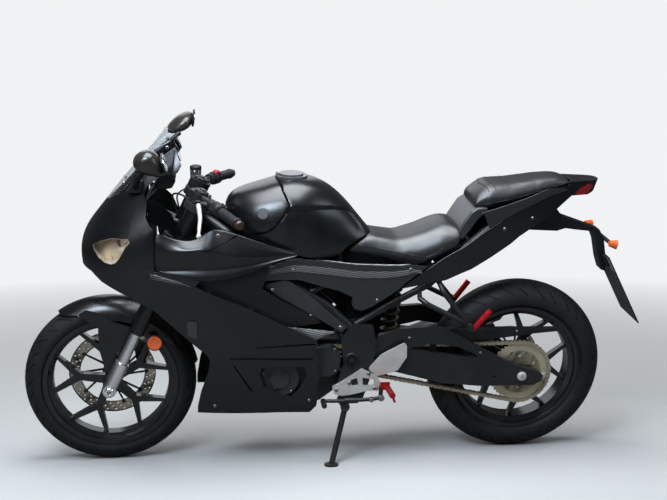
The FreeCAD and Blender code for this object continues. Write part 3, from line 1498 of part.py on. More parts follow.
def main():
    os.makedirs("parts", exist_ok=True)
    outer = fairing_body(0.0)
    inner_body = fairing_body(COWL_WALL)
    shell = outer.cut(inner_body)
    screen = outer.cut(fairing_body(SCREEN_WALL))
    lamp = outer.cut(fairing_body(40.0))
    tail = tail_body(0.0)
    tail_inner = tail_body(COWL_WALL)
    tail_shell = tail.cut(tail_inner)
    main_frame = frame()
    rails = subframe(main_frame, tail_inner)
    motor = engine(main_frame)
    can = silencer()
    dash = instrument_panel()
    pillion = pillion_seat()
    tip = tail_tip(tail, pillion)
    board = number_plate()
    holder = plate_holder(tail_inner, tip, board)
    arm = swingarm()
    tank_whole = tank_body()
    tank = fuel_tank(tank_whole)
    legs = fork_sliders()
    uppers = without_crumbs(upper_side_cowls(outer, shell).cut(tank_whole))
    scoop = scoops(fairing_body(SCOOP_DEPTH), fairing_body(SCOOP_DEPTH + COWL_WALL), inner_body)
    liners = Part.makeCompound([scoop, cockpit_shelves(outer)]).cut(uppers).cut(tank_whole)
    calipers = front_caliper()
    bars = bar_controls()
    peg_brackets = both(pillion_pegs()).cut(rails)
    nodes = {
        "frame": Part.makeCompound([main_frame, stand_bracket(main_frame)]),
        "subframe": Part.makeCompound([rails, tank_mounts(main_frame, rails, tank_whole)]),
        "engine": motor,
        "engine_covers": Part.makeCompound([engine_covers().cut(motor), cowl_posts(inner_body)]),
        "exhaust_pipe": exhaust_pipe().cut(motor).cut(can),
        "silencer": can,
        "radiator": radiator(main_frame),
        "shock_absorber": shock_absorber(arm),
        "cap_ring": cap_ring(),
        "fairing_stay": fairing_stay(inner_body, main_frame, dash),
        "instrument_panel": dash,
        "side_beams": side_beams(main_frame, rails),
        "frame_covers": frame_covers(main_frame),
        "chain_guard": chain_guard(),
        "rearsets": rearsets(),
        "foot_controls": Part.makeCompound([foot_pegs(), foot_controls(), folded_pegs().cut(peg_brackets)]),
        "pillion_pegs": Part.makeCompound([peg_brackets, silencer_hanger(can).cut(peg_brackets)]),
        "front_caliper": calipers,
        "reflectors": reflectors().cut(legs).cut(fork_tubes()),
        "brake_hose": brake_hose().cut(calipers).cut(bars),
        "inner_cowls": without_crumbs(liners),
        "tank_cover": tank_cover(tank_whole),
        "tail_lamp": tail_lamp(tail).cut(pillion),
        "rear_caliper": rear_caliper(),
        "mirrors": mirrors(outer),
        "front_indicators": front_indicators(outer, fairing_body(-7.0)),
        "plate_holder": holder,
        "number_plate": board,
        "rear_indicators": rear_indicators(holder),
        "bar_controls": bars,
        "swingarm": Part.makeCompound([arm, axles()]),
        "nose_cowl": largest(nose_shell(shell).cut(uppers)),
        "windscreen": windscreen(screen),
        "headlamps": headlamps(lamp),
        "upper_side_cowls": uppers,
        "lower_side_cowls": without_crumbs(lower_side_cowls(shell).cut(uppers)),
        "fuel_tank": tank,
        "fuel_cap": fuel_cap(),
        "rider_seat": rider_seat().cut(rails),
        "pillion_seat": pillion,
        "tail_cowl": tail_cowl(tail_shell),
        "tail_tip": tip,
        "tail_panels": tail_panels(tail_shell, pillion),
        "front_tyre": front_tyre(),
        "front_rim": front_rim(),
        "front_disc": front_disc(),
        "rear_tyre": rear_tyre(),
        "rear_rim": rear_rim(),
        "rear_disc": rear_disc(),
        "rear_sprocket": rear_sprocket(),
        "front_sprocket": front_sprocket(),
        "chain": chain(),
        "triple_clamps": triple_clamps(),
        "fork_tubes": fork_tubes(),
        "fork_sliders": Part.makeCompound([legs, front_axle()]),
        "front_fender": front_fender(legs),
        "handlebars": handlebars(),
        "grips": grips(),
        "side_stand": side_stand(),
    }
    for name, shape in nodes.items():
        shape.rotate(vec(0, 0, 0), vec(1, 0, 0), -LEAN_DEG)
        shape.translate(vec(-ORIGIN_X, -ORIGIN_Y, LIFT))
        shape.exportStep("parts/" + name + ".step")


main()
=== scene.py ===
"""Looks of a sport motorcycle that leans on its side stand, built round its CAD frame.

The file is laid out as an add-on: property groups hold sizes and colours,
each piece or group of like pieces has an operator, and main() runs them in
order. Sizes are in metres. Pieces are modelled on the upright bike, with X
forward from the rear axle, Y to the rider's left and Z up from the ground,
and then leaned over with the frame.
"""

import math

import bmesh
import bpy
from bpy.props import FloatProperty, FloatVectorProperty, PointerProperty
from mathutils import Matrix, Vector
from mathutils.bvhtree import BVHTree


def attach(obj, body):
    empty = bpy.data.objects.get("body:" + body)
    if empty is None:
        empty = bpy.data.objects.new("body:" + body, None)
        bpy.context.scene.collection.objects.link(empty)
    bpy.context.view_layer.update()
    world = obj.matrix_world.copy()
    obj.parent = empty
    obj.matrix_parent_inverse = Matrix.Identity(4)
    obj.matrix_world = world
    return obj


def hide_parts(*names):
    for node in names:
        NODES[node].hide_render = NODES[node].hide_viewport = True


bl_info = {
    "name": "Parked sport motorcycle",
    "version": (1, 0, 0),
    "blender": (4, 5, 0),
    "location": "3D View > Sidebar > Motorcycle",
    "description": "Builds the visible pieces and finishes of a faired motorcycle on its side stand",
    "category": "Object",
}

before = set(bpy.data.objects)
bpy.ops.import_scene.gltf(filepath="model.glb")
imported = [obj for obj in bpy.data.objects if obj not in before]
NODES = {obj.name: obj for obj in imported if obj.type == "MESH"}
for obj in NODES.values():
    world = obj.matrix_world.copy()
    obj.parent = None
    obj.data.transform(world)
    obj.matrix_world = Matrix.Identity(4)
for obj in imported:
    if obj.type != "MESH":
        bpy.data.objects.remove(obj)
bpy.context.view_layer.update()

# The bike leans to its left on the stand. LEANED turns upright sizes into place.

LEAN = math.radians(10.82)
REAR_CROWN = 0.070
FRONT_CROWN = 0.054
ORIGIN_X = -0.6395
ORIGIN_Y = -0.1925
LEANED = (
    Matrix.Translation((ORIGIN_X, ORIGIN_Y, REAR_CROWN * (1 - math.cos(LEAN))))
    @ Matrix.Rotation(-LEAN, 4, "X")
)
UPRIGHT = LEANED.inverted()
SIDES = (-1, 1)

WHEELBASE = 1.410
FRONT_RADIUS = 0.290
REAR_RADIUS = 0.311
BEAD_SEAT = 0.218
FRONT_HUB = Vector((WHEELBASE, 0, FRONT_RADIUS))
REAR_HUB = Vector((0, 0, REAR_RADIUS))
RAKE = math.radians(25)
STEER_GROUND_X = 1.505
AXLE_OFFSET_X = WHEELBASE - (STEER_GROUND_X - math.tan(RAKE) * FRONT_RADIUS)


def steer_x(z):
    """X of the steering axis at height z."""
    return STEER_GROUND_X - math.tan(RAKE) * z


def fork_x(z):
    """X of the fork legs' centre line at height z."""
    return steer_x(z) + AXLE_OFFSET_X


# Settings


def colour_setting(name, description, default):
    return FloatVectorProperty(
        name=name, description=description, subtype="COLOR", size=3, min=0, max=1, default=default)


def power_setting(name, description, default):
    return FloatProperty(name=name, description=description, min=0, max=2000, default=default)


class BikeColours(bpy.types.PropertyGroup):
    """Colours of the bike's finishes."""

    paint: colour_setting("Paint", "Satin black of cowls, tank and tail", (0.0019, 0.0019, 0.0023))
    trim: colour_setting("Trim", "Grained black mouldings", (0.0026, 0.0026, 0.0029))
    seat: colour_setting("Saddle", "Smooth black seat cover", (0.0022, 0.0022, 0.0028))
    rubber: colour_setting("Rubber", "Tyres and grips", (0.0028, 0.0028, 0.0028))
    alloy: colour_setting("Alloy", "Bare cast alloy", (0.50, 0.485, 0.45))
    red: colour_setting("Red", "Red anodised pegs", (0.50, 0.012, 0.020))
    amber: colour_setting("Amber", "Indicators and side reflectors", (0.52, 0.075, 0.010))
    chain: colour_setting("Chain", "Oily chain steel", (0.30, 0.25, 0.18))
    dust: colour_setting("Dust", "Dry road dust in low places", (0.20, 0.17, 0.13))


class BikeSizes(bpy.types.PropertyGroup):
    """Sizes of patterns and small details."""

    tow_width: FloatProperty(
        name="Tow width", description="Width of one woven carbon tow",
        unit="LENGTH", min=0.001, max=0.02, default=0.0022)
    groove_depth: FloatProperty(
        name="Groove depth", description="Depth of the tread grooves",
        unit="LENGTH", min=0.0005, max=0.01, default=0.0035)


class StageSettings(bpy.types.PropertyGroup):
    """Floor, backdrop and lamps."""

    floor_colour: colour_setting("Floor", "Plain pale floor", (0.40, 0.395, 0.385))
    wall_colour: colour_setting("Backdrop", "Plain pale backdrop", (0.88, 0.89, 0.90))
    room_light: FloatProperty(
        name="Room light", description="Strength of the light from all around", min=0, max=5, default=0.10)
    window_power: power_setting("Window", "Power of the cool lamp ahead of the bike", 190.0)
    key_power: power_setting("Key lamp", "Power of the large lamp above", 210.0)
    fill_power: power_setting("Fill lamp", "Power of the lamps on the camera's, rear and far sides", 26.0)


def colours():
    return bpy.context.scene.bike_colours


def sizes():
    return bpy.context.scene.bike_sizes


# Shader building


class Shade:
    """Short way to add and link nodes in a material or a group."""

    def __init__(self, tree):
        self.tree = tree

    def add(self, kind, **values):
        node = self.tree.nodes.new(kind)
        for name, value in values.items():
            setattr(node, name, value)
        return node

    def link(self, out, into):
        self.tree.links.new(out, into)

    def feed(self, socket, value):
        """Links a socket to an output, or sets its number or colour."""
        if isinstance(value, bpy.types.NodeSocket):
            self.tree.links.new(value, socket)
        elif value is not None:
            socket.default_value = value

    def math(self, operation, a, b=None, clamp=False):
        node = self.add("ShaderNodeMath", operation=operation, use_clamp=clamp)
        self.feed(node.inputs[0], a)
        self.feed(node.inputs[1], b)
        return node.outputs[0]

    def ramp(self, value, low, high):
        node = self.add("ShaderNodeMapRange", clamp=True)
        self.feed(node.inputs["Value"], value)
        node.inputs["From Min"].default_value = low
        node.inputs["From Max"].default_value = high
        return node.outputs["Result"]

    def blend(self, share, a, b):
        node = self.add("ShaderNodeMix", data_type="RGBA")
        self.feed(node.inputs["Factor"], share)
        self.feed(node.inputs[6], a)
        self.feed(node.inputs[7], b)
        return node.outputs[2]

    def noise(self, vector, scale, detail=3.0, rough=0.5):
        node = self.add("ShaderNodeTexNoise")
        self.feed(node.inputs["Vector"], vector)
        self.feed(node.inputs["Scale"], scale)
        node.inputs["Detail"].default_value = detail
        node.inputs["Roughness"].default_value = rough
        return node.outputs["Fac"]

    def group(self, tree, **values):
        node = self.add("ShaderNodeGroup")
        node.node_tree = tree
        for name, value in values.items():
            self.feed(node.inputs[name.replace("_", " ").capitalize()], value)
        return node.outputs

    def node(self, kind):
        return next(node for node in self.tree.nodes if node.type == kind)

    def mix_surfaces(self, share, first, second, output="OUTPUT_MATERIAL"):
        """Shows a mix of two shaders as the surface."""
        mix = self.add("ShaderNodeMixShader")
        for value, socket in zip((share, first, second), mix.inputs):
            self.link(value, socket)
        self.link(mix.outputs[0], self.node(output).inputs["Surface"])


def rgba(colour, gain=1.0, lift=0.0):
    """Colour with an alpha of one, made paler where asked."""
    return tuple(min(c * gain + lift, 1) for c in colour) + (1.0,)


def preset(sockets, **values):
    """Sets numbers that are the same all over, by the names of their sockets."""
    for name, value in values.items():
        sockets[name.replace("_", " ")].default_value = value


def new_group(name, inputs, outputs):
    """Node group with named sockets. Returns its Shade, input and output nodes."""
    tree = bpy.data.node_groups.new(name, "ShaderNodeTree")
    for way, sockets in (("INPUT", inputs), ("OUTPUT", outputs)):
        for label, kind in sockets:
            tree.interface.new_socket(name=label, in_out=way, socket_type="NodeSocket" + kind)
    shade = Shade(tree)
    entry = shade.add("NodeGroupInput")
    leave = shade.add("NodeGroupOutput")
    return shade, entry.outputs, leave.inputs


def grain_group():
    """Fine moulded or cast grain: a height, and a mask of cloudy patches."""
    shade, given, out = new_group(
        "Surface grain",
        [("Vector", "Vector"), ("Grain scale", "Float"), ("Cloud scale", "Float")],
        [("Height", "Float"), ("Clouds", "Float")])
    fine = shade.noise(given["Vector"], given["Grain scale"], 2.0, 0.6)
    clouds = shade.noise(given["Vector"], given["Cloud scale"], 4.0, 0.6)
    shade.link(fine, out["Height"])
    shade.link(shade.ramp(clouds, 0.3, 0.7), out["Clouds"])
    return shade.tree


def dust_group():
    """Road dust that thins with height above the ground."""
    shade, given, out = new_group(
        "Road dust",
        [("Vector", "Vector"), ("Amount", "Float"), ("Top", "Float")],
        [("Mask", "Float")])
    split = shade.add("ShaderNodeSeparateXYZ")
    shade.link(given["Vector"], split.inputs[0])
    low = shade.math("DIVIDE", split.outputs["Z"], given["Top"])
    low = shade.math("SUBTRACT", 1.0, low, clamp=True)
    patches = shade.ramp(shade.noise(given["Vector"], 22.0, 5.0, 0.65), 0.42, 0.72)
    specks = shade.ramp(shade.noise(given["Vector"], 240.0, 2.0, 0.6), 0.5, 0.75)
    mixed = shade.math("ADD", shade.math("MULTIPLY", patches, 0.7), shade.math("MULTIPLY", specks, 0.3))
    mask = shade.math("MULTIPLY", shade.math("MULTIPLY", mixed, low), given["Amount"], clamp=True)
    shade.link(mask, out["Mask"])
    return shade.tree


def weave_group():
    """Two-by-two twill of flat tows, read on the bike's side view."""
    shade, given, out = new_group(
        "Twill weave",
        [("Vector", "Vector"), ("Tow width", "Float")],
        [("Warp", "Float"), ("Height", "Float")])
    split = shade.add("ShaderNodeSeparateXYZ")
    shade.link(given["Vector"], split.inputs[0])
    along = shade.math("DIVIDE", split.outputs["X"], given["Tow width"])
    up = shade.math("DIVIDE", split.outputs["Z"], given["Tow width"])
    steps = shade.math("ADD", shade.math("FLOOR", along), shade.math("FLOOR", up))
    turn = shade.math("FLOORED_MODULO", steps, 4.0)
    warp = shade.math("LESS_THAN", turn, 1.5)
    round_x = shade.math("SINE", shade.math("MULTIPLY", shade.math("FRACT", along), math.pi))
    round_z = shade.math("SINE", shade.math("MULTIPLY", shade.math("FRACT", up), math.pi))
    over = shade.math("MULTIPLY", round_x, warp)
    under = shade.math("MULTIPLY", round_z, shade.math("SUBTRACT", 1.0, warp))
    shade.link(warp, out["Warp"])
    shade.link(shade.math("ADD", over, under), out["Height"])
    return shade.tree


def scuff_group():
    """Fine scratches and rubbed spots, for polish that varies."""
    shade, given, out = new_group(
        "Light scuffs",
        [("Vector", "Vector"), ("Scale", "Float")],
        [("Mask", "Float")])
    stretch = shade.add("ShaderNodeMapping")
    shade.link(given["Vector"], stretch.inputs["Vector"])
    preset(stretch.inputs, Rotation=(0.3, 0.5, 0.2), Scale=(1.0, 1.0, 9.0))
    edge_highlights = shade.noise(stretch.outputs[0], given["Scale"], 4.0, 0.75)
    shade.link(shade.ramp(edge_highlights, 0.55, 0.78), out["Mask"])
    return shade.tree


GROUPS = {}


def groups(name):
    """Shared node groups, each built once."""
    makers = {"grain": grain_group, "dust": dust_group, "weave": weave_group, "scuff": scuff_group}
    if name not in GROUPS:
        GROUPS[name] = makers[name]()
    return GROUPS[name]


def new_material(name):
    """Material with a Principled shader. Returns it, its Shade, its sockets and its coordinates."""
    material = bpy.data.materials.new(name)
    material.use_nodes = True
    shade = Shade(material.node_tree)
    place = shade.add("ShaderNodeTexCoord").outputs["Object"]
    return material, shade, shade.node("BSDF_PRINCIPLED").inputs, place


def bump(shade, height, strength, distance):
    node = shade.add("ShaderNodeBump")
    preset(node.inputs, Strength=strength, Distance=distance)
    shade.link(height, node.inputs["Height"])
    return node.outputs["Normal"]


def coated(name, colour, rough, metal=0.0, grain=900.0, relief=0.00004, cloud=9.0,
           spread=0.25, dust=0.0, dust_top=0.5, coat=0.0, scuff=0.0, shine=0.5):
    """A coated or moulded surface with grain, cloudy gloss, scuffs and dust."""
    material, shade, socket, place = new_material(name)
    grains = shade.group(groups("grain"), vector=place, grain_scale=grain, cloud_scale=cloud)
    base = shade.blend(grains["Clouds"], rgba(colour), rgba(colour, 1.35, 0.002))
    gloss = shade.math("MULTIPLY", grains["Clouds"], spread * rough)
    gloss = shade.math("ADD", gloss, rough * (1 - spread / 2), clamp=True)
    if scuff > 0:
        mask = shade.group(groups("scuff"), vector=place, scale=26.0)["Mask"]
        mask = shade.math("MULTIPLY", mask, scuff)
        base = shade.blend(mask, base, rgba(colour, 2.5, 0.03))
        gloss = shade.math("ADD", gloss, shade.math("MULTIPLY", mask, 0.25), clamp=True)
    if dust > 0:
        mask = shade.group(groups("dust"), vector=place, amount=dust, top=dust_top)["Mask"]
        base = shade.blend(mask, base, rgba(colours().dust))
        gloss = shade.math("ADD", gloss, shade.math("MULTIPLY", mask, 0.4), clamp=True)
    if dust > 0 and metal > 0:
        shade.link(shade.math("MULTIPLY", shade.math("SUBTRACT", 1.0, mask), metal), socket["Metallic"])
    elif metal > 0:
        preset(socket, Metallic=metal)
    shade.link(base, socket["Base Color"])
    shade.link(gloss, socket["Roughness"])
    preset(socket, Specular_IOR_Level=shine)
    shade.link(bump(shade, grains["Height"], 0.5, relief), socket["Normal"])
    if coat > 0:
        preset(socket, Coat_Weight=coat, Coat_Roughness=0.12)
    return material


TWILL_TURN = math.radians(38)


def carbon_weave(name, painted_sheen):
    """Twill of dark tows with painted sheen: warp tows and the crowns of all tows are painted brighter, up
    to the given brightness, for light caught by the weave; on the woven inserts this brightness is also
    their own silver.
    """
    material, shade, socket, place = new_material(name)
    turned = shade.add("ShaderNodeMapping")
    shade.link(place, turned.inputs["Vector"])
    preset(turned.inputs, Rotation=(0, TWILL_TURN, 0))
    cloth = shade.group(groups("weave"), vector=turned.outputs[0], tow_width=sizes().tow_width)
    # Painted sheen: lighter warp and tow crowns in the base colour.
    dark = shade.blend(cloth["Height"], rgba([0.003] * 3), rgba([painted_sheen * 0.2] * 3))
    pale = shade.blend(cloth["Height"], rgba([0.006] * 3), rgba([painted_sheen] * 3))
    shade.link(shade.blend(cloth["Warp"], dark, pale), socket["Base Color"])
    shade.link(bump(shade, cloth["Height"], 0.35, 0.0002), socket["Normal"])
    preset(socket, Roughness=0.35, Specular_IOR_Level=0.4, Coat_Weight=0.35, Coat_Roughness=0.10)
    return material


def clear_pane(name, tint, rough):
    """Clear moulded plastic with a trace of dust, which lets the lamps' light through."""
    material, shade, socket, place = new_material(name)
    specks = shade.ramp(shade.noise(place, 300.0, 3.0, 0.6), 0.52, 0.8)
    shade.link(shade.blend(shade.math("MULTIPLY", specks, 0.3), rgba(tint), (0.85, 0.85, 0.84, 1)),
               socket["Base Color"])
    shade.link(shade.math("ADD", shade.math("MULTIPLY", specks, 0.12), rough), socket["Roughness"])
    preset(socket, Transmission_Weight=1.0, IOR=1.2)
    through = shade.add("ShaderNodeBsdfTransparent").outputs[0]
    shadow = shade.add("ShaderNodeLightPath").outputs["Is Shadow Ray"]
    shade.mix_surfaces(shadow, shade.node("BSDF_PRINCIPLED").outputs[0], through)
    return material


def finishes():
    """All finishes by name, made once."""
    c = colours()
    black = (0.0055, 0.0055, 0.006)
    return {
        "paint": coated("Satin black paint", c.paint, 0.27, grain=1500.0, relief=0.00001, cloud=5.0,
                        spread=0.2, scuff=0.01),
        "tank": coated("Satin black tank", c.paint, 0.28, grain=1500.0, relief=0.00001, cloud=4.0,
                       spread=0.2, scuff=0.01),
        "trim": coated("Grained black trim", c.trim, 0.5, grain=700.0, relief=0.00008, scuff=0.05,
                       shine=0.32),
        "cover": coated("Lighter black cover", (0.018, 0.018, 0.019), 0.42, relief=0.00003, scuff=0.08,
                        shine=0.4),
        # Near-black and almost unreflecting: painted shade, for the panel gaps and the bike's shaded
        # inside.
        "gap": coated("Shadowed panel gap", (0.001, 0.001, 0.001), 0.8, shine=0.05),
        "step": coated("Grey satin trim", (0.024, 0.025, 0.028), 0.36, metal=0.3, relief=0.00003,
                       scuff=0.1),
        "frame": coated("Black powder coat", black, 0.4, grain=420.0, relief=0.00006, dust=0.1,
                        dust_top=0.45, scuff=0.08, shine=0.38),
        "engine": coated("Dark cast engine", (0.018, 0.018, 0.019), 0.5, metal=0.3, grain=520.0,
                         relief=0.00012, dust=0.3),
        "exhaust": coated("Browned steel pipe", (0.32, 0.27, 0.22), 0.35, metal=1.0, scuff=0.4, dust=0.4),
        "silencer": coated("Black heat-proof can", black, 0.5, grain=500.0, dust=0.1, shine=0.35),
        "core": coated("Finned radiator core", (0.02, 0.02, 0.02), 0.6, metal=0.5, dust=0.2),
        "spring": coated("Yellowed spring coat", (0.060, 0.046, 0.018), 0.4, dust=0.1, dust_top=0.8),
        # Weaves with painted sheen on their tows. The glinting one is a lighter copy for the beams' tops, a
        # painted highlight. The inserts are silver tows with painted sheen.
        "carbon": carbon_weave("Carbon weave", 0.030),
        "painted_sheen": carbon_weave("Glinting carbon weave", 0.16),
        "mesh": carbon_weave("Silver woven insert", 0.24),
        "faint": carbon_weave("Faint woven stripes", 0.11),
        "alloy": coated("Blasted cast alloy", c.alloy, 0.38, metal=0.6, grain=650.0, relief=0.00006,
                        scuff=0.3, spread=0.35),
        "cap": coated("Satin filler cap", (0.20, 0.20, 0.205), 0.36, metal=0.9, relief=0.00002),
        "slider": coated("Silver fork leg", (0.66, 0.66, 0.67), 0.26, metal=1.0, relief=0.00001,
                         scuff=0.15),
        "chrome": coated("Bright axle end", (0.80, 0.80, 0.80), 0.16, metal=1.0, relief=0.000005,
                         scuff=0.2),
        "clamp": coated("Dark blasted clamp", (0.030, 0.030, 0.032), 0.42, metal=0.6, grain=650.0,
                        relief=0.00006),
        "badge": coated("Plain satin badge", (0.045, 0.046, 0.050), 0.34, metal=0.7, scuff=0.1),
        "bolt": coated("Dull plated bolt", (0.22, 0.21, 0.20), 0.38, metal=1.0, scuff=0.3),
        "red": coated("Red anodised alloy", c.red, 0.32, metal=0.85, scuff=0.35),
        "caliper": coated("Dark anodised caliper", (0.030, 0.026, 0.022), 0.4, metal=0.5, dust=0.2),
        "mirror": coated("Brown-black mirror shell", (0.018, 0.0155, 0.0135), 0.24, scuff=0.02),
        "glass": coated("Mirror glass", (0.62, 0.64, 0.66), 0.03, metal=1.0, relief=0.0),
        "display": coated("Dark display", (0.003, 0.003, 0.004), 0.08, relief=0.0, coat=0.5),
        "bowl": coated("Dark lamp housing", (0.010, 0.009, 0.008), 0.4, relief=0.0, shine=0.3),
        "warm": coated("Warm lamp reflector", (0.30, 0.235, 0.165), 0.3, metal=0.5, relief=0.0),
        "plug": coated("Brown-black bar plug", (0.040, 0.022, 0.016), 0.28, metal=0.4),
        "cup": coated("Dark fluid cup", (0.016, 0.015, 0.014), 0.18, coat=0.5),
        "amber": coated("Amber lens", c.amber, 0.18, grain=320.0, relief=0.0002, coat=0.6),
        "smoked": coated("Smoked lens", (0.010, 0.010, 0.012), 0.12, grain=320.0, relief=0.0001, coat=0.5),
        "lamp_red": coated("Red lamp lens", (0.16, 0.005, 0.007), 0.15, grain=320.0, relief=0.0002,
                           coat=0.6),
        "plate": coated("Blank plate", (0.060, 0.060, 0.062), 0.42, dust=0.15, dust_top=0.9, scuff=0.2),
        # Bright bluish beads on the windscreen's edges: a painted highlight.
        "edge": coated("Painted highlight on screen edge", (0.30, 0.34, 0.38), 0.25, relief=0.0),
        "screen": clear_pane("Light screen", (0.78, 0.81, 0.84), 0.02),
        "lens": clear_pane("Clear lamp lens", (0.96, 0.97, 0.98), 0.01),
        "seat": coated("Smooth seat cover", c.seat, 0.46, grain=820.0, relief=0.00014, cloud=7.0,
                       spread=0.3, scuff=0.01, shine=0.8),
        "welt": coated("Cover welt", c.seat, 0.5, grain=820.0, relief=0.0001),
        "tyre": coated("Tyre rubber", c.rubber, 0.6, grain=520.0, relief=0.0001, dust=0.06, dust_top=0.75,
                       scuff=0.04, shine=0.3),
        "rim": coated("Gloss black wheel", (0.004, 0.004, 0.0045), 0.2, relief=0.00001, dust=0.06,
                      dust_top=0.7),
        "disc": coated("Ground disc steel", (0.36, 0.31, 0.25), 0.28, metal=1.0, scuff=0.7, relief=0.00002),
        "chain": coated("Oily chain steel", c.chain, 0.36, metal=0.6, scuff=0.6, dust=0.1, dust_top=0.8),
        "sprocket": coated("Worn sprocket steel", (0.40, 0.345, 0.245), 0.36, metal=0.6, scuff=0.4),
        "fork": coated("Black fork tube", black, 0.3, metal=0.3, relief=0.00001, coat=0.2),
        "grip": coated("Grip rubber", c.rubber, 0.6, grain=420.0, relief=0.0002, shine=0.35),
    }


FINISH = {}

NODE_FINISHES = {
    "paint": ("nose_cowl", "upper_side_cowls", "lower_side_cowls", "tail_cowl", "tail_tip", "front_fender",
              "tank_cover"),
    "tank": ("fuel_tank",),
    "trim": ("instrument_panel", "chain_guard", "plate_holder", "inner_cowls"),
    "cover": ("frame_covers",),
    "frame": ("frame", "subframe", "swingarm", "fairing_stay", "handlebars", "side_stand", "pillion_pegs"),
    "engine": ("engine", "engine_covers"),
    "exhaust": ("exhaust_pipe",),
    "silencer": ("silencer",),
    "core": ("radiator",),
    "spring": ("shock_absorber",),
    "carbon": ("side_beams", "tail_panels"),
    "alloy": ("rearsets", "bar_controls"),
    "cap": ("cap_ring", "fuel_cap"),
    "clamp": ("triple_clamps",),
    "slider": ("fork_sliders",),
    "red": ("foot_controls",),
    "caliper": ("front_caliper", "rear_caliper"),
    "mirror": ("mirrors",),
    "amber": ("rear_indicators", "reflectors"),
    "smoked": ("front_indicators",),
    "lamp_red": ("tail_lamp",),
    "plate": ("number_plate",),
    "screen": ("windscreen",),
    "lens": ("headlamps",),
    "seat": ("rider_seat", "pillion_seat"),
    "tyre": ("front_tyre", "rear_tyre"),
    "rim": ("front_rim", "rear_rim"),
    "disc": ("front_disc", "rear_disc"),
    "chain": ("chain",),
    "sprocket": ("rear_sprocket", "front_sprocket"),
    "fork": ("fork_tubes",),
    "grip": ("grips", "brake_hose"),
}


# Mesh building


def placed(name, data):
    """New object in the scene's own collection."""
    piece = bpy.data.objects.new(name, data)
    bpy.context.scene.collection.objects.link(piece)
    return piece


def mesh_from(bm, name="scratch"):
    """New mesh from a bmesh, which is used up."""
    mesh = bpy.data.meshes.new(name)
    bm.to_mesh(mesh)
    bm.free()
    return mesh


def finish_piece(name, bm, body, finish, replaces=(), bevel=0.0, segments=2,
                 smooth=True, angle=35.0):
    """Turns a bmesh of the upright bike into a leaned, finished piece."""
    bmesh.ops.transform(bm, matrix=LEANED, verts=bm.verts)
    mesh = mesh_from(bm, name)
    piece = placed(name, mesh)
    mesh.materials.append(FINISH[finish])
    for face in mesh.polygons:
        face.use_smooth = smooth
    if bevel > 0:
        rounding = piece.modifiers.new("Rounded edges", "BEVEL")
        rounding.width = bevel
        rounding.segments = segments
        rounding.limit_method = "ANGLE"
        rounding.angle_limit = math.radians(angle)
        rounding.harden_normals = False
    if smooth:
        mesh.set_sharp_from_angle(angle=math.radians(angle))
    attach(piece, body)
    if replaces:
        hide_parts(*replaces)
    return piece


def walled(piece, thickness, offset=1.0):
    """Gives an open skin a thickness, outwards unless told otherwise."""
    wall = piece.modifiers.new("Wall", "SOLIDIFY")
    wall.thickness = thickness
    wall.offset = offset
    return piece


def refined(piece, levels):
    """Adds smooth subdivision."""
    fine = piece.modifiers.new("Fine", "SUBSURF")
    fine.levels = fine.render_levels = levels


def upright_copy(node):
    """A merged copy of a CAD node's mesh, stood upright."""
    bm = bmesh.new()
    bm.from_mesh(NODES[node].data)
    bmesh.ops.remove_doubles(bm, verts=bm.verts, dist=0.00002)
    bmesh.ops.dissolve_limit(bm, angle_limit=math.radians(1.0), verts=bm.verts, edges=bm.edges)
    bmesh.ops.transform(bm, matrix=UPRIGHT, verts=bm.verts)
    return bm


def skin_of(*nodes):
    """Tree for finding points on the outer skin of CAD nodes."""
    bm = bmesh.new()
    for node in nodes:
        scratch = mesh_from(upright_copy(node))
        bm.from_mesh(scratch)
        bpy.data.meshes.remove(scratch)
    tree = BVHTree.FromBMesh(bm)
    bm.free()
    return tree


def side_point(tree, x, z, side=1, lift=0.0):
    """Point of a skin seen from the side at (x, z), or None."""
    hit, normal, _, _ = tree.ray_cast(Vector((x, side * 0.5, z)), Vector((0, -side, 0)))
    if hit is None:
        return None
    if normal.y * side < 0:
        normal = -normal
    return hit + normal * lift


def smooth_run(points, steps=6):
    """Points of a smooth line that passes through the given points."""
    ends = [points[0] * 2 - points[1]] + list(points) + [points[-1] * 2 - points[-2]]
    run = []
    for a, b, c, d in zip(ends, ends[1:], ends[2:], ends[3:]):
        for index in range(steps):
            t = index / steps
            run.append(0.5 * (b * 2 + (c - a) * t + (a * 2 - b * 5 + c * 4 - d) * t * t
                              + (b * 3 - a - c * 3 + d) * t * t * t))
    return run + [points[-1]]


def whole(bm):
    return list(bm.verts) + list(bm.edges) + list(bm.faces)


def outward(bm):
    """Turns every face outwards."""
    bmesh.ops.recalc_face_normals(bm, faces=bm.faces)
    return bm


def clean(bm):
    """Merges doubled corners and turns every face outwards."""
    bmesh.ops.remove_doubles(bm, verts=bm.verts, dist=0.00001)
    return outward(bm)


def smoothed(bm, passes=1):
    for _ in range(passes):
        bmesh.ops.smooth_vert(bm, verts=bm.verts, factor=0.5,
                              use_axis_x=True, use_axis_y=True, use_axis_z=True)
    return bm


def ring_of(bm, points, closed=True):
    """Chain of edges through points, closed into a loop unless told otherwise."""
    verts = [bm.verts.new(point) for point in points]
    pairs = list(zip(verts, verts[1:]))
    if closed:
        pairs.append((verts[-1], verts[0]))
    return [bm.edges.new(pair) for pair in pairs]


def skin_over(bm, sections, cap=True):
    """Faces over closed sections that follow each other, with capped ends."""
    loops = [ring_of(bm, section) for section in sections]
    for first, second in zip(loops, loops[1:]):
        bmesh.ops.bridge_loops(bm, edges=first + second)
    if cap:
        for loop in (loops[0], loops[-1]):
            bmesh.ops.contextual_create(bm, geom=loop)


def circle(centre, across, up, radius, sides):
    """Points of a round section."""
    turns = [2 * math.pi * k / sides for k in range(sides)]
    return [centre + across * (radius * math.cos(turn)) + up * (radius * math.sin(turn)) for turn in turns]


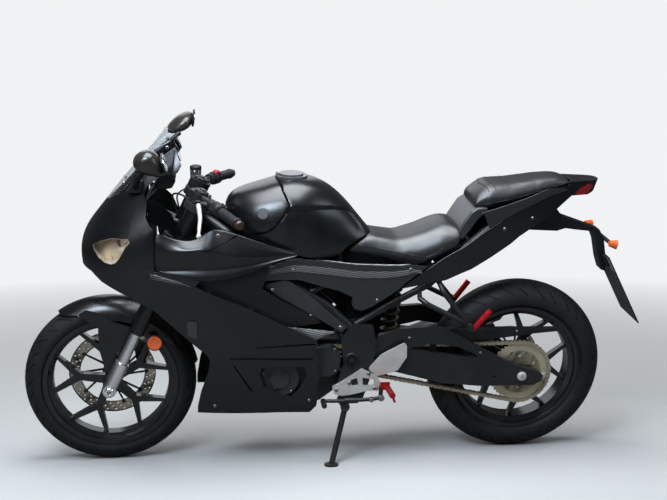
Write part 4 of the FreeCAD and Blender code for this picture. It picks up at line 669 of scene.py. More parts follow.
def add_tube(bm, points, radius, sides=8, end_radius=None):
    """Round tube along points, narrowing to its end where asked."""
    points = [Vector(p) for p in points]
    sections = []
    across = None
    for index, point in enumerate(points):
        before = points[max(index - 1, 0)]
        after = points[min(index + 1, len(points) - 1)]
        along = (after - before).normalized()
        if across is None:
            across = along.orthogonal().normalized()
        across = (across - along * across.dot(along)).normalized()
        share = index / (len(points) - 1)
        r = radius if end_radius is None else radius + (end_radius - radius) * share
        sections.append(circle(point, across, along.cross(across), r, sides))
    skin_over(bm, sections)


def add_turned(bm, start, end, profile, sides=20):
    """Turned shape along an axis from (distance, radius) steps."""
    start, end = Vector(start), Vector(end)
    along = (end - start).normalized()
    across = along.orthogonal().normalized()
    up = along.cross(across)
    skin_over(bm, [circle(start + along * travel, across, up, radius, sides) for travel, radius in profile])


def add_ends(bm, x, y, z, profile, sides):
    """The same turned shape facing outwards on both sides of the bike."""
    for side in SIDES:
        end = Vector((x, side * y, z))
        add_turned(bm, end, end + Vector((0, side, 0)), profile, sides)


def add_drum(bm, centre, axis, radius, length, sides=24, end_radius=None):
    """Cylinder or cone about a centre point along an axis."""
    turn = Vector(axis).normalized().to_track_quat("Z", "Y").to_matrix().to_4x4()
    bmesh.ops.create_cone(
        bm, cap_ends=True, segments=sides, radius1=radius,
        radius2=radius if end_radius is None else end_radius,
        depth=length, matrix=Matrix.Translation(Vector(centre)) @ turn)


def add_ball(bm, centre, radius, around, rings):
    bmesh.ops.create_uvsphere(bm, u_segments=around, v_segments=rings, radius=radius,
                              matrix=Matrix.Translation(centre))


def raised(bm, faces, move):
    """Pushes faces along to make a solid of them."""
    grown = bmesh.ops.extrude_face_region(bm, geom=faces)
    moved = [item for item in grown["geom"] if isinstance(item, bmesh.types.BMVert)]
    bmesh.ops.translate(bm, verts=moved, vec=move)


def add_plate(bm, corners, move):
    """Flat plate from a loop of corners, as thick as the move."""
    made = bmesh.ops.contextual_create(bm, geom=ring_of(bm, corners))
    raised(bm, made["faces"], move)


def add_slab(bm, outline, y0, y1):
    """Flat plate with an outline in the side view."""
    verts = [bm.verts.new((x, y0, z)) for x, z in outline]
    raised(bm, [bm.faces.new(verts)], (0, y1 - y0, 0))


def spin_round(bm, profile, hub, steps, closed=True):
    """Sweeps a line of (y, radius) points once round a wheel's axle."""
    edges = ring_of(bm, [(hub.x, y, hub.z + r) for y, r in profile], closed)
    bmesh.ops.spin(bm, geom=list(bm.verts) + edges, cent=hub, axis=(0, 1, 0),
                   angle=2 * math.pi, steps=steps, use_merge=True)


def baked(piece):
    """Applies the modifiers of a piece and keeps its name."""
    graph = bpy.context.evaluated_depsgraph_get()
    mesh = bpy.data.meshes.new_from_object(piece.evaluated_get(graph))
    piece.modifiers.clear()
    piece.data = mesh
    return piece


def remeshed(bm, voxel):
    """Even quads over a closed mesh, which is used up."""
    scratch = placed("scratch", mesh_from(bm))
    grid = scratch.modifiers.new("Grid", "REMESH")
    grid.mode = "VOXEL"
    grid.voxel_size = voxel
    baked(scratch)
    even = bmesh.new()
    even.from_mesh(scratch.data)
    bpy.data.objects.remove(scratch)
    return even


# Wheels and chain


TREAD_STEP = math.radians(6)
TREAD_REPEAT = 14
GROOVE_EDGE = 0.0008
TYRE_WALL = 0.010
TYRE_STEPS = 224


def tyre_mesh(hub, radius, crown, bead, steps, depth):
    """Round-crowned tyre with slanted grooves and a bead over the rim."""
    middle = radius - crown
    profile = [(bead - 0.001, BEAD_SEAT + 0.001), (bead, BEAD_SEAT + 0.0095),
               (bead + 0.0025, BEAD_SEAT + 0.0125), (crown - 0.004, middle - 0.004)]
    for index in range(14, -1, -1):
        turn = index * TREAD_STEP
        profile.append((crown * math.sin(turn), middle + crown * math.cos(turn)))
    profile += [(-y, r) for y, r in reversed(profile[:-1])]
    inner = crown - TYRE_WALL
    for turn in (-80, -45, 0, 45, 80):
        angle = math.radians(turn)
        profile.append((inner * math.sin(angle), middle + inner * math.cos(angle)))
    bm = bmesh.new()
    spin_round(bm, profile, hub, steps)
    clean(bm)
    grooves = []
    for face in bm.faces:
        centre = face.calc_center_median() - hub
        out = math.hypot(centre.x, centre.z) - middle
        lean = math.atan2(abs(centre.y), out)
        if math.hypot(centre.y, out) < crown - 0.005 or not 1.2 < lean / TREAD_STEP < 11:
            continue
        row = int(lean / TREAD_STEP)
        place = int(round(math.atan2(centre.z, centre.x) / (2 * math.pi) * steps - 0.5))
        place += 0 if centre.y > 0 else TREAD_REPEAT // 2
        slant = 2 if row < 5 else 1
        main_cut = (place - row * slant) % TREAD_REPEAT == 0
        edge_cut = row > 6 and (place - row) % TREAD_REPEAT == 6
        if main_cut or edge_cut:
            grooves.append(face)
    bmesh.ops.inset_region(bm, faces=grooves, thickness=GROOVE_EDGE, depth=-depth,
                           use_even_offset=True)
    return bm


HOLE_STEP = 6


def add_disc_ring(bm, hub, y, outer, inner, steps, rows):
    """Flat brake ring with rows of drilled holes, left one face thick."""
    edge_radii = [inner + (outer - inner) * k / rows for k in range(rows + 1)]
    spin_round(bm, [(y, r) for r in edge_radii], hub, steps, closed=False)
    holes = []
    for face in bm.faces:
        centre = face.calc_center_median() - hub
        row = int((math.hypot(centre.x, centre.z) - inner) / (outer - inner) * rows)
        place = int(round(math.atan2(centre.z, centre.x) / (2 * math.pi) * steps - 0.5))
        if row % 2 == 1 and (place + row) % HOLE_STEP == 0:
            holes.append(face)
    bmesh.ops.delete(bm, geom=holes, context="FACES")


def wheel_bolts(bm, hub, y, radius, count, size, length, side):
    """Ring of bolt heads about a hub, facing one side."""
    for index in range(count):
        turn = 2 * math.pi * (index + 0.5) / count
        centre = hub + Vector((radius * math.cos(turn), y, radius * math.sin(turn)))
        add_drum(bm, centre, (0, side, 0), size, length, 12, size * 0.85)


class BIKE_OT_tyres(bpy.types.Operator):
    """Tyres with slanted tread grooves and bead lines"""

    bl_idname = "bike.tyres"
    bl_label = "Tyres"

    def execute(self, context):
        depth = sizes().groove_depth
        for name, hub, radius, crown, bead, body in (
            ("front_tyre", FRONT_HUB, FRONT_RADIUS, FRONT_CROWN, 0.0362, "front_wheel"),
            ("rear_tyre", REAR_HUB, REAR_RADIUS, REAR_CROWN, 0.0492, "rear_wheel"),
        ):
            bm = tyre_mesh(hub, radius, crown, bead, TYRE_STEPS, depth)
            finish_piece(name + "_tread", bm, body, "tyre", (name,), angle=40)
        return {"FINISHED"}


DISC_THICK = 0.0045
DISC_ARMS = 10


class BIKE_OT_brakes(bpy.types.Operator):
    """Drilled brake rings on open carriers"""

    bl_idname = "bike.brakes"
    bl_label = "Brake discs"

    def execute(self, context):
        for name, hub, y, outer, body, steps, hub_r in (
            ("front_disc", FRONT_HUB, -0.05975, 0.149, "front_wheel", 180, 0.026),
            ("rear_disc", REAR_HUB, -0.07425, 0.110, "rear_wheel", 132, 0.034),
        ):
            bm = bmesh.new()
            add_disc_ring(bm, hub, y, outer, outer * 0.74, steps, 7)
            walled(finish_piece(name + "_ring", bm, body, "disc", (name,), angle=50),
                   DISC_THICK, 0)
            carrier = bmesh.new()
            middle = hub + Vector((0, y, 0))
            for index in range(DISC_ARMS):
                turn = 2 * math.pi * index / DISC_ARMS
                away = Vector((math.cos(turn), 0, math.sin(turn)))
                skewed = Vector((math.cos(turn + 0.35), 0, math.sin(turn + 0.35)))
                root = middle + skewed * (hub_r + 0.006)
                tip = middle + away * (outer * 0.78)
                add_tube(carrier, [root, root.lerp(tip, 0.5), tip], 0.0042, 6, 0.0034)
                add_drum(carrier, tip, (0, 1, 0), 0.0075, 0.0062, 14)
            add_drum(carrier, middle, (0, 1, 0), hub_r + 0.009, 0.006, 40)
            wheel_bolts(carrier, hub, y - 0.005, hub_r + 0.002, 5, 0.0045, 0.005, -1)
            finish_piece(name + "_carrier", outward(carrier), body, "rim", angle=40)
        return {"FINISHED"}


CHAIN_PITCH = 0.015875
CHAIN_Y = 0.086
FRONT_SHAFT = Vector((0.665, 0, 0.385))
LINK_HALF = 0.0066
LINK_WAIST = 0.0046
REAR_TEETH = 43
FRONT_TEETH = 14


def chain_places():
    """Pin places round both sprockets, one pitch apart."""
    big = CHAIN_PITCH / (2 * math.sin(math.pi / REAR_TEETH))
    small = CHAIN_PITCH / (2 * math.sin(math.pi / FRONT_TEETH))
    apart = FRONT_SHAFT - REAR_HUB
    slope = math.atan2(apart.z, apart.x)
    spread = math.acos((big - small) / apart.length)
    run = apart.length * math.sin(spread)
    front_wrap = 2 * small * spread
    rear_wrap = 2 * big * (math.pi - spread)
    lap = 2 * run + front_wrap + rear_wrap
    links = int(round(lap / CHAIN_PITCH))
    links -= links % 2

    def on(centre, radius, turn):
        return centre + Vector((math.cos(turn), 0, math.sin(turn))) * radius

    def at(travel):
        travel %= lap
        up, down = slope + spread, slope - spread
        if travel < run:
            return on(REAR_HUB, big, up).lerp(on(FRONT_SHAFT, small, up), travel / run)
        travel -= run
        if travel < front_wrap:
            return on(FRONT_SHAFT, small, up - travel / small)
        travel -= front_wrap
        if travel < run:
            return on(FRONT_SHAFT, small, down).lerp(on(REAR_HUB, big, down), travel / run)
        return on(REAR_HUB, big, down - (travel - run) / big)

    return [at(index * lap / links) for index in range(links)]


def add_link(bm, first, second, outer):
    """One link: a pair of waisted side plates, with rollers on inner links."""
    along = (second - first).normalized()
    up = Vector((-along.z, 0, along.x))
    reach = (second - first).length
    outline = []
    for centre, start in ((0, 90), (reach, -90)):
        for k in range(5):
            turn = math.radians(start + 45 * k)
            outline.append((centre + LINK_HALF * math.cos(turn), LINK_HALF * math.sin(turn)))
        outline.append((reach / 2, -LINK_WAIST if start == 90 else LINK_WAIST))
    near, far = (0.0068, 0.0086) if outer else (0.0048, 0.0066)
    for side in SIDES:
        verts = []
        for a, b in outline:
            point = first + along * a + up * b
            verts.append(bm.verts.new((point.x, CHAIN_Y + side * near, point.z)))
        raised(bm, [bm.faces.new(verts)], (0, side * (far - near), 0))
    if not outer:
        for pin in (first, second):
            for radius, length, sides in ((0.0048, 0.0098, 10), (0.0022, 0.0192, 8)):
                add_drum(bm, (pin.x, CHAIN_Y, pin.z), (0, 1, 0), radius, length, sides)


class BIKE_OT_chain(bpy.types.Operator):
    """Chain of single links round both sprockets"""

    bl_idname = "bike.chain"
    bl_label = "Chain"

    def execute(self, context):
        bm = bmesh.new()
        places = chain_places()
        for index, place in enumerate(places):
            add_link(bm, place, places[(index + 1) % len(places)], index % 2 == 0)
        finish_piece("chain_links", outward(bm), "chassis", "chain", ("chain",),
                     smooth=False)
        return {"FINISHED"}


# Softened castings and mouldings

SOFTENED = (
    ("front_rim", "front_wheel", "rim", 0.0022, 30),
    ("rear_rim", "rear_wheel", "rim", 0.0022, 30),
    ("front_fender", "steering", "paint", 0.0014, 38),
    ("nose_cowl", "chassis", "paint", 0.0012, 40),
    ("lower_side_cowls", "chassis", "paint", 0.0014, 40),
    ("tail_cowl", "chassis", "paint", 0.0014, 40),
    ("tail_tip", "chassis", "paint", 0.0025, 35),
    ("tail_panels", "chassis", "carbon", 0.0012, 35),
    ("side_beams", "chassis", "carbon", 0.0040, 35),
    ("frame_covers", "chassis", "cover", 0.0026, 35),
    ("inner_cowls", "chassis", "trim", 0.0012, 35),
    ("swingarm", "chassis", "frame", 0.0035, 35),
    ("rearsets", "chassis", "alloy", 0.0016, 35),
    ("front_caliper", "steering", "caliper", 0.0022, 35),
    ("rear_caliper", "chassis", "caliper", 0.0022, 35),
    ("triple_clamps", "steering", "clamp", 0.0022, 35),
    ("engine", "chassis", "engine", 0.0040, 35),
    ("engine_covers", "chassis", "engine", 0.0022, 35),
    ("chain_guard", "chassis", "trim", 0.0012, 35),
    ("plate_holder", "chassis", "trim", 0.0020, 35),
    ("silencer", "chassis", "silencer", 0.0030, 35),
    ("side_stand", "side_stand", "frame", 0.0015, 35),
)


DISC_OUTER_FACE = 0.062
DISC_REACH = 0.175
PLATE_RELIEF = 0.002


class BIKE_OT_castings(bpy.types.Operator):
    """Castings and mouldings with rounded edges in place of sharp ones"""

    bl_idname = "bike.castings"
    bl_label = "Softened edges"

    def execute(self, context):
        for node, body, finish, width, angle in SOFTENED:
            bm = upright_copy(node)
            if node == "front_fender":
                self.clear_of_disc(bm)
            finish_piece(node + "_soft", bm, body, finish, replaces=(node,), bevel=width, angle=angle)
        return {"FINISHED"}

    def clear_of_disc(self, bm):
        """Thins the right side plate where the brake disc runs behind it."""
        for vert in bm.verts:
            near = (vert.co - FRONT_HUB).length < DISC_REACH
            if near and abs(vert.co.y + DISC_OUTER_FACE) < 0.0006:
                vert.co.y -= PLATE_RELIEF


# Tank and seats


def below(line, x):
    """Height of a line of (x, z) points at x, where x falls along the line."""
    for (x0, z0), (x1, z1) in zip(line, line[1:]):
        if x1 <= x <= x0:
            return z0 + (z1 - z0) * (x0 - x) / (x0 - x1)
    return line[0][1] if x > line[0][0] else line[-1][1]


KNEE_LINE = ((0.850, 0.915), (0.819, 0.930), (0.780, 0.932), (0.722, 0.929), (0.667, 0.922),
             (0.617, 0.908), (0.584, 0.891), (0.540, 0.850))
KNEE_DEPTH = 0.013
KNEE_EDGE = 0.016
KNEE_FRONT = 0.830
KNEE_REAR = 0.530
KNEE_FADE = 0.05
TANK_VOXEL = 0.0042
BADGE_SPOT = (0.899, 0.905)


def ease(value):
    """Smooth step from zero to one."""
    value = min(max(value, 0.0), 1.0)
    return value * value * (3 - 2 * value)


class BIKE_OT_tank(bpy.types.Operator):
    """Tank with knee recesses, its front cover and a plain round badge"""

    bl_idname = "bike.tank"
    bl_label = "Tank"

    def execute(self, context):
        tank = smoothed(remeshed(upright_copy("fuel_tank"), TANK_VOXEL))
        for vert in tank.verts:
            x, y, z = vert.co
            drop = (below(KNEE_LINE, x) - z) / KNEE_EDGE
            near = ease((KNEE_FRONT - x) / KNEE_FADE) * ease((x - KNEE_REAR) / KNEE_FADE)
            low = 1 - 0.75 * ease((0.86 - z) / 0.11)
            side = ease((abs(y) - 0.05) / 0.03)
            shift = KNEE_DEPTH * ease(drop) * near * low * side
            vert.co.y -= math.copysign(shift, y)
        finish_piece("tank_shell", tank, "chassis", "tank", ("fuel_tank",), angle=60)
        cover = smoothed(remeshed(upright_copy("tank_cover"), TANK_VOXEL))
        finish_piece("tank_front_cover", cover, "chassis", "paint", ("tank_cover",), angle=60)
        tree = skin_of("tank_cover")
        badge = bmesh.new()
        for side in SIDES:
            centre = side_point(tree, *BADGE_SPOT, side)
            _, normal, _, _ = tree.find_nearest(centre)
            if normal.y * side < 0:
                normal = -normal
            add_drum(badge, centre + normal * 0.0008, normal, 0.0195, 0.003, 48, 0.0180)
        finish_piece("round_badges", badge, "chassis", "badge", bevel=0.0006)
        return {"FINISHED"}


PAD_FRAMES = 20
PAD_PRESSURE = 4.0
SMOOTH_PASSES = 16
SEAT_PADS = (
    ("rider_seat", 0.006, 0.010),
    ("pillion_seat", 0.005, 0.008),
)


class BIKE_OT_seats(bpy.types.Operator):
    """Seat pads puffed up under their covers"""

    bl_idname = "bike.seats"
    bl_label = "Saddles"

    def execute(self, context):
        for node, voxel, reach in SEAT_PADS:
            bm = remeshed(upright_copy(node), voxel)
            bmesh.ops.transform(bm, matrix=LEANED, verts=bm.verts)
            rest = [vert.co.copy() for vert in bm.verts]
            pad = placed(node + "_cover", mesh_from(bm, node + "_cover"))
            self.puff(context, pad)
            for vert, start in zip(pad.data.vertices, rest):
                move = vert.co - start
                if move.length > reach:
                    vert.co = start + move.normalized() * reach
            self.settle(pad)
            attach(pad, "chassis")
            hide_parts(node)
        return {"FINISHED"}

    def puff(self, context, pad):
        """Blows the cover up like cloth over its filling."""
        cloth = pad.modifiers.new("Cover", "CLOTH")
        cloth.settings.use_pressure = True
        cloth.settings.uniform_pressure_force = PAD_PRESSURE
        cloth.settings.effector_weights.gravity = 0
        cloth.settings.quality = 5
        cloth.point_cache.frame_start = 1
        cloth.point_cache.frame_end = PAD_FRAMES
        for frame in range(1, PAD_FRAMES + 1):
            context.scene.frame_set(frame)
        baked(pad)
        context.scene.frame_set(1)

    def settle(self, pad):
        """Evens the cover out and gives it its finish."""
        bm = bmesh.new()
        bm.from_mesh(pad.data)
        smoothed(bm, SMOOTH_PASSES).to_mesh(pad.data)
        bm.free()
        pad.data.materials.clear()
        pad.data.materials.append(FINISH["seat"])
        for face in pad.data.polygons:
            face.use_smooth = True
        refined(pad, 1)


# Cowls

CREASES = (
    (1.250, (0.871, 0.811, 0.741, 0.733)), (1.215, (0.847, 0.798, 0.736, 0.726)),
    (1.160, (0.831, 0.799, 0.741, 0.714)), (1.124, (0.832, 0.803, 0.743, 0.708)),
    (1.092, (0.848, 0.806, 0.744, 0.705)), (1.066, (0.868, 0.801, 0.745, 0.705)),
    (1.027, (0.863, 0.790, 0.747, 0.708)), (0.980, (0.848, 0.781, 0.750, 0.716)),
    (0.900, (0.817, 0.775, 0.757, 0.741)), (0.833, (0.793, 0.777, 0.769, 0.762)),
    (0.786, (0.779, 0.776, 0.773, 0.770)),
)
COWL_WALL = Vector((0, -0.004, 0))
BAND_FRONT = Vector((1.2495, 0, 0))


class BIKE_OT_cowls(bpy.types.Operator):
    """Side cowls with their crease, undercut and rolled edges"""

    bl_idname = "bike.cowls"
    bl_label = "Side cowls"

    def execute(self, context):
        wing = upright_copy("upper_side_cowls")
        bmesh.ops.bisect_plane(wing, geom=whole(wing), plane_co=BAND_FRONT, plane_no=(1, 0, 0),
                               clear_inner=True)
        bmesh.ops.holes_fill(wing, edges=[edge for edge in wing.edges if edge.is_boundary])
        finish_piece("upper_cowl_wings", wing, "chassis", "paint",
                     ("upper_side_cowls",), bevel=0.0012, angle=40)
        band = bmesh.new()
        tree = skin_of("upper_side_cowls")
        for side in SIDES:
            self.add_band(band, tree, side)
        refined(finish_piece("upper_cowl_bands", outward(band), "chassis", "paint",
                             angle=70), 2)
        return {"FINISHED"}

    def add_band(self, bm, tree, side):
        """Lofts the creased band of one side through its rows of heights."""
        rows = []
        for x, (shelf, crease, hollow, low) in CREASES:
            spots = []
            for z in (shelf - 0.001, crease, hollow, low + 0.001):
                hit, _, _, _ = tree.ray_cast(Vector((x - 0.0004, side * 0.5, z)), Vector((0, -side, 0)))
                spots.append(Vector((x, abs(hit.y), z)))
            top, edge, deep, foot = spots
            drop = edge.z - deep.z
            row = [
                top + COWL_WALL,
                top,
                top + (edge - top) * 0.12,
                top + (edge - top) * 0.5 + Vector((0, 0.003, 0)),
                edge + Vector((0, -0.0015, min(0.007, drop * 0.2))),
                edge,
                edge + (deep - edge) * 0.16 + Vector((0, -0.001, 0)),
                edge + (deep - edge) * 0.55,
                deep,
                deep + (foot - deep) * 0.3 + Vector((0, 0.002, 0)),
                deep + (foot - deep) * 0.7 + Vector((0, 0.003, 0)),
                foot,
                foot + COWL_WALL,
            ]
            row += [row[index] + COWL_WALL * 1.2 for index in (9, 7, 5, 3)]
            rows.append([Vector((p.x, side * p.y, p.z)) for p in row])
        skin_over(bm, rows)


# Small parts


def add_bolt(bm, centre, normal, radius, height=0.004):
    """Button head with a socket."""
    centre, normal = Vector(centre), Vector(normal).normalized()
    profile = [(-0.002, radius), (height * 0.35, radius), (height * 0.8, radius * 0.86),
               (height, radius * 0.6),
               (height, radius * 0.42), (height * 0.3, radius * 0.40)]
    add_turned(bm, centre, centre + normal, profile, 12)


def add_hex(bm, centre, normal, radius, height):
    """Hexagon nut on a round washer."""
    centre, normal = Vector(centre), Vector(normal).normalized()
    add_drum(bm, centre, normal, radius * 1.25, height * 0.3, 24)
    add_drum(bm, centre + normal * height * 0.5, normal, radius, height, 6, radius * 0.94)


def skin_bolts(bm, tree, places, radius, sides=(1, -1)):
    """Bolts set on a skin at (x, z) places of its side view."""
    for x, z in places:
        for side in sides:
            spot = side_point(tree, x, z, side)
            if spot is not None:
                add_bolt(bm, spot, (0, side, 0), radius)


def add_seam(bm, tree, line, radius, side=1, lift=0.0):
    """Thin bead that follows a skin along a side-view line."""
    coarse = smooth_run([Vector((x, 0, z)) for x, z in line])
    spots = [side_point(tree, p.x, p.z, side, lift) for p in coarse]
    spots = [spot for spot in spots if spot is not None]
    if len(spots) > 2:
        add_tube(bm, spots, radius, 6)


def outline_middle(outline):
    return Vector((sum(x for x, _ in outline), 0, sum(z for _, z in outline))) / len(outline)


def skin_patch(node, outline):
    """The outer skin of a node inside a convex outline of its side view."""
    bm = upright_copy(node)
    middle = outline_middle(outline)
    for (x0, z0), (x1, z1) in zip(outline, outline[1:] + outline[:1]):
        out = Vector((z1 - z0, 0, x0 - x1)).normalized()
        corner = Vector((x0, 0, z0))
        if out.dot(middle - corner) > 0:
            out = -out
        bmesh.ops.bisect_plane(bm, geom=whole(bm), plane_co=corner, plane_no=out, clear_outer=True)
    inner = []
    for face in bm.faces:
        across = face.calc_center_median().y
        if face.normal.y * across <= abs(across) * 0.25:
            inner.append(face)
    bmesh.ops.delete(bm, geom=inner, context="FACES")
    return bm


LAMP_CORE = Vector((1.30, 0, 0.79))
LAMP_BOWLS = ((1.372, 0.118, 0.790, 0.026), (1.408, 0.070, 0.782, 0.020))


class BIKE_OT_lamps(bpy.types.Operator):
    """Headlamp lenses with housings, bowls and projectors behind them"""

    bl_idname = "bike.lamps"
    bl_label = "Headlamps"

    def execute(self, context):
        lens, shell = upright_copy("headlamps"), upright_copy("headlamps")
        for bm, keep_front in ((lens, True), (shell, False)):
            drop = []
            for face in bm.faces:
                away = (face.calc_center_median() - LAMP_CORE).normalized()
                front = face.normal.dot(away) > 0.3 and abs(face.normal.y) > 0.04
                if front != keep_front:
                    drop.append(face)
            bmesh.ops.delete(bm, geom=drop, context="FACES")
        walled(finish_piece("headlamp_lenses", lens, "chassis", "lens", ("headlamps",),
                            angle=50), 0.0022, -1.0)
        walled(finish_piece("headlamp_housings", shell, "chassis", "warm", angle=40),
               0.001, -1.0)
        bowls, bulbs = bmesh.new(), bmesh.new()
        for side in SIDES:
            ahead = Vector((0.86, side * 0.50, 0)).normalized()
            for x, y, z, r in LAMP_BOWLS:
                mouth = Vector((x, side * y, z))
                add_turned(bowls, mouth - ahead * 0.022, mouth + ahead,
                           [(0, r * 0.35), (0.006, r * 0.62), (0.014, r * 0.86), (0.024, r),
                            (0.026, r * 1.08),
                            (0.024, r * 1.1), (0.010, r * 0.95), (-0.002, r * 0.5)], 28)
                add_ball(bulbs, mouth - ahead * 0.004, r * 0.5, 20, 12)
        finish_piece("headlamp_bowls", outward(bowls), "chassis", "chrome", angle=50)
        finish_piece("headlamp_projectors", bulbs, "chassis", "lens", angle=50)
        return {"FINISHED"}


BAR_TIP = (0.988, 0.352, 0.928)
BAR_CLAMP_Z = 0.950
BAR_ROOT = (fork_x(BAR_CLAMP_Z) - 0.006, 0.115, 0.954)


def bar_point(side, distance, ahead=0.0, drop=0.0):
    """Point at a distance from the bar's outer end, towards the fork."""
    root, tip = (Vector((x, side * y, z)) for x, y, z in (BAR_ROOT, BAR_TIP))
    return tip + (root - tip).normalized() * distance + Vector((ahead, 0, -drop))


GRIP_RIBS = 26
RIB_PITCH = 0.0037
PLUG_PROFILE = ((-0.016, 0.004), (-0.016, 0.0125), (-0.012, 0.0152), (-0.004, 0.0152),
                (-0.002, 0.0120), (0.004, 0.0115))
SWITCH_PROFILE = ((0, 0.0125), (0, 0.0205), (0.003, 0.0228), (0.0195, 0.0228), (0.0205, 0.0215),
                  (0.0215, 0.0228), (0.039, 0.0228), (0.042, 0.0205), (0.042, 0.0125))
CLAMP_PROFILE = ((0, 0.0122), (0, 0.0175), (0.003, 0.0190), (0.023, 0.0190), (0.026, 0.0175),
                 (0.026, 0.0122))
SWITCH_KEYS = ((0.128, -0.020, -0.010), (0.140, -0.022, -0.004), (0.150, -0.018, -0.014))
BAR_CABLES = (
    (0.0032, (1, 0.184, 0.030, 0.0), (
        (1.125, 0.125, 0.944), (1.150, 0.100, 0.956), (1.170, 0.080, 0.960), (1.186, 0.064, 0.955),
        (1.190, 0.056, 0.938), (1.184, 0.050, 0.915), (1.172, 0.046, 0.880), (1.166, 0.044, 0.845),
        (1.164, 0.044, 0.812))),
    (0.0030, (-1, 0.150, 0.018, 0.006), (
        (1.110, -0.150, 0.925), (1.150, -0.110, 0.930), (1.176, -0.074, 0.915), (1.168, -0.057, 0.870),
        (1.158, -0.052, 0.815))),
    (0.0042, (1, 0.150, 0.014, 0.016), (
        (1.098, 0.130, 0.912), (1.120, 0.085, 0.888), (1.142, 0.050, 0.850), (1.150, 0.036, 0.810))),
)


class BIKE_OT_controls(bpy.types.Operator):
    """Ribbed grips, levers, switch housings, the brake's fluid cup and cables"""

    bl_idname = "bike.controls"
    bl_label = "Handlebar controls"

    def execute(self, context):
        grips, levers, boxes, plugs, cup, red, cables = (bmesh.new() for _ in range(7))
        for side in SIDES:
            tip, root = bar_point(side, 0), bar_point(side, 0.2)
            add_turned(grips, tip, root, self.grip_profile(), 22)
            add_turned(plugs, tip, root, PLUG_PROFILE, 22)
            add_turned(boxes, bar_point(side, 0.121), root, SWITCH_PROFILE, 24)
            add_turned(boxes, bar_point(side, 0.170), root, CLAMP_PROFILE, 24)
            self.add_lever(levers, boxes, side)
            for distance, ahead, drop in SWITCH_KEYS:
                add_drum(boxes, bar_point(side, distance, ahead, drop), (-0.9, 0, 0.4), 0.0048, 0.010, 12,
                         0.0040)
        base = bar_point(-1, 0.190, 0.046, -0.002)
        above = base + Vector((0, 0, 1))
        add_turned(cup, base, above, [(0, 0.012), (0.001, 0.0185), (0.034, 0.0195), (0.035, 0.0180)], 24)
        add_turned(boxes, base + Vector((0, 0, 0.035)), above,
                   [(0, 0.0180), (0.0, 0.0200), (0.009, 0.0200), (0.012, 0.0170), (0.012, 0.004)], 24)
        add_tube(boxes, [bar_point(-1, 0.182, 0.044, -0.006), base + Vector((0, 0, 0.006))], 0.0075, 10)
        add_turned(red, bar_point(-1, 0.150, -0.008, -0.014), bar_point(-1, 0.150, -0.016, -0.05),
                   [(0, 0.0110), (0.010, 0.0115), (0.014, 0.0085), (0.015, 0.003)], 18)
        for radius, start, rest in BAR_CABLES:
            add_tube(cables, smooth_run([bar_point(*start)] + [Vector(point) for point in rest]), radius)
        finish_piece("grip_ribs", outward(grips), "steering", "grip", ("grips",), angle=40)
        finish_piece("bar_end_plugs", outward(plugs), "steering", "plug", angle=40)
        finish_piece("hand_levers", outward(levers), "steering", "alloy", angle=60)
        finish_piece("switch_housings", outward(boxes), "steering", "trim",
                     ("bar_controls",), bevel=0.0008, angle=40)
        finish_piece("fluid_cup", outward(cup), "steering", "cup", angle=60)
        finish_piece("stop_switch", outward(red), "steering", "red", angle=50)
        finish_piece("bar_cables", cables, "steering", "grip", angle=60)
        return {"FINISHED"}

    def grip_profile(self):
        """Outline of a grip with its ribs and inner flange."""
        profile = [(0.002, 0.012), (0.002, 0.0165), (0.012, 0.0180)]
        for rib in range(GRIP_RIBS):
            travel = 0.014 + rib * RIB_PITCH
            profile += [(travel, 0.0150), (travel + 0.0012, 0.0164), (travel + 0.0026, 0.0164)]
        return profile + [(0.112, 0.0150), (0.113, 0.0205), (0.117, 0.0205), (0.118, 0.0125)]

    def add_lever(self, levers, boxes, side):
        """Curved lever with a ball end, on its perch."""
        pivot = bar_point(side, 0.182, 0.044, -0.006)
        add_tube(boxes, [bar_point(side, 0.182, 0.010), bar_point(side, 0.184, 0.028, -0.004), pivot],
                 0.0095, 10, 0.0080)
        add_drum(boxes, pivot, (0, 0, 1), 0.0095, 0.020, 16)
        run = [pivot] + [bar_point(side, *place) for place in (
            (0.158, 0.051, 0.006), (0.120, 0.064, 0.022), (0.070, 0.088, 0.034), (0.022, 0.110, 0.044))]
        add_tube(levers, smooth_run(run, 7), 0.0088, 10, 0.0048)
        add_ball(levers, run[-1], 0.0086, 16, 10)


MIRROR_FACES = (((1.232, 0.315, 1.114), 16.0), ((1.138, -0.315, 1.149), -8.0))
MIRROR_POINTS = 28
MIRROR_WIDE = 0.055
MIRROR_HIGH = 0.028
MIRROR_DROP = 0.009
DASH_OUTLINE = ((1.236, 0.969), (1.249, 0.990), (1.214, 1.040), (1.197, 1.045), (1.177, 1.000),
                (1.190, 0.976))
DASH_HALF = 0.076
DISPLAY_SPOT = Vector((1.187, 0, 1.0235))
DISPLAY_OUT = Vector((-0.914, 0, 0.406))
DISPLAY_UP = Vector((0.406, 0, 0.914))
DISPLAY_CORNERS = ((-0.062, -0.012), (-0.050, -0.019), (0.050, -0.019), (0.062, -0.012),
                   (0.062, 0.014), (0.052, 0.019), (-0.052, 0.019), (-0.062, 0.014))
STEER_AXIS = Vector((-math.sin(RAKE), 0, math.cos(RAKE)))
YOKE_TOP = 0.905
FORK_TOP = 0.968
FORK_Y = 0.095


def swollen(turn):
    """Cosine and sine of a turn, pushed out towards a rounded box."""
    return [math.copysign(abs(value) ** 0.7, value) for value in (math.cos(turn), math.sin(turn))]


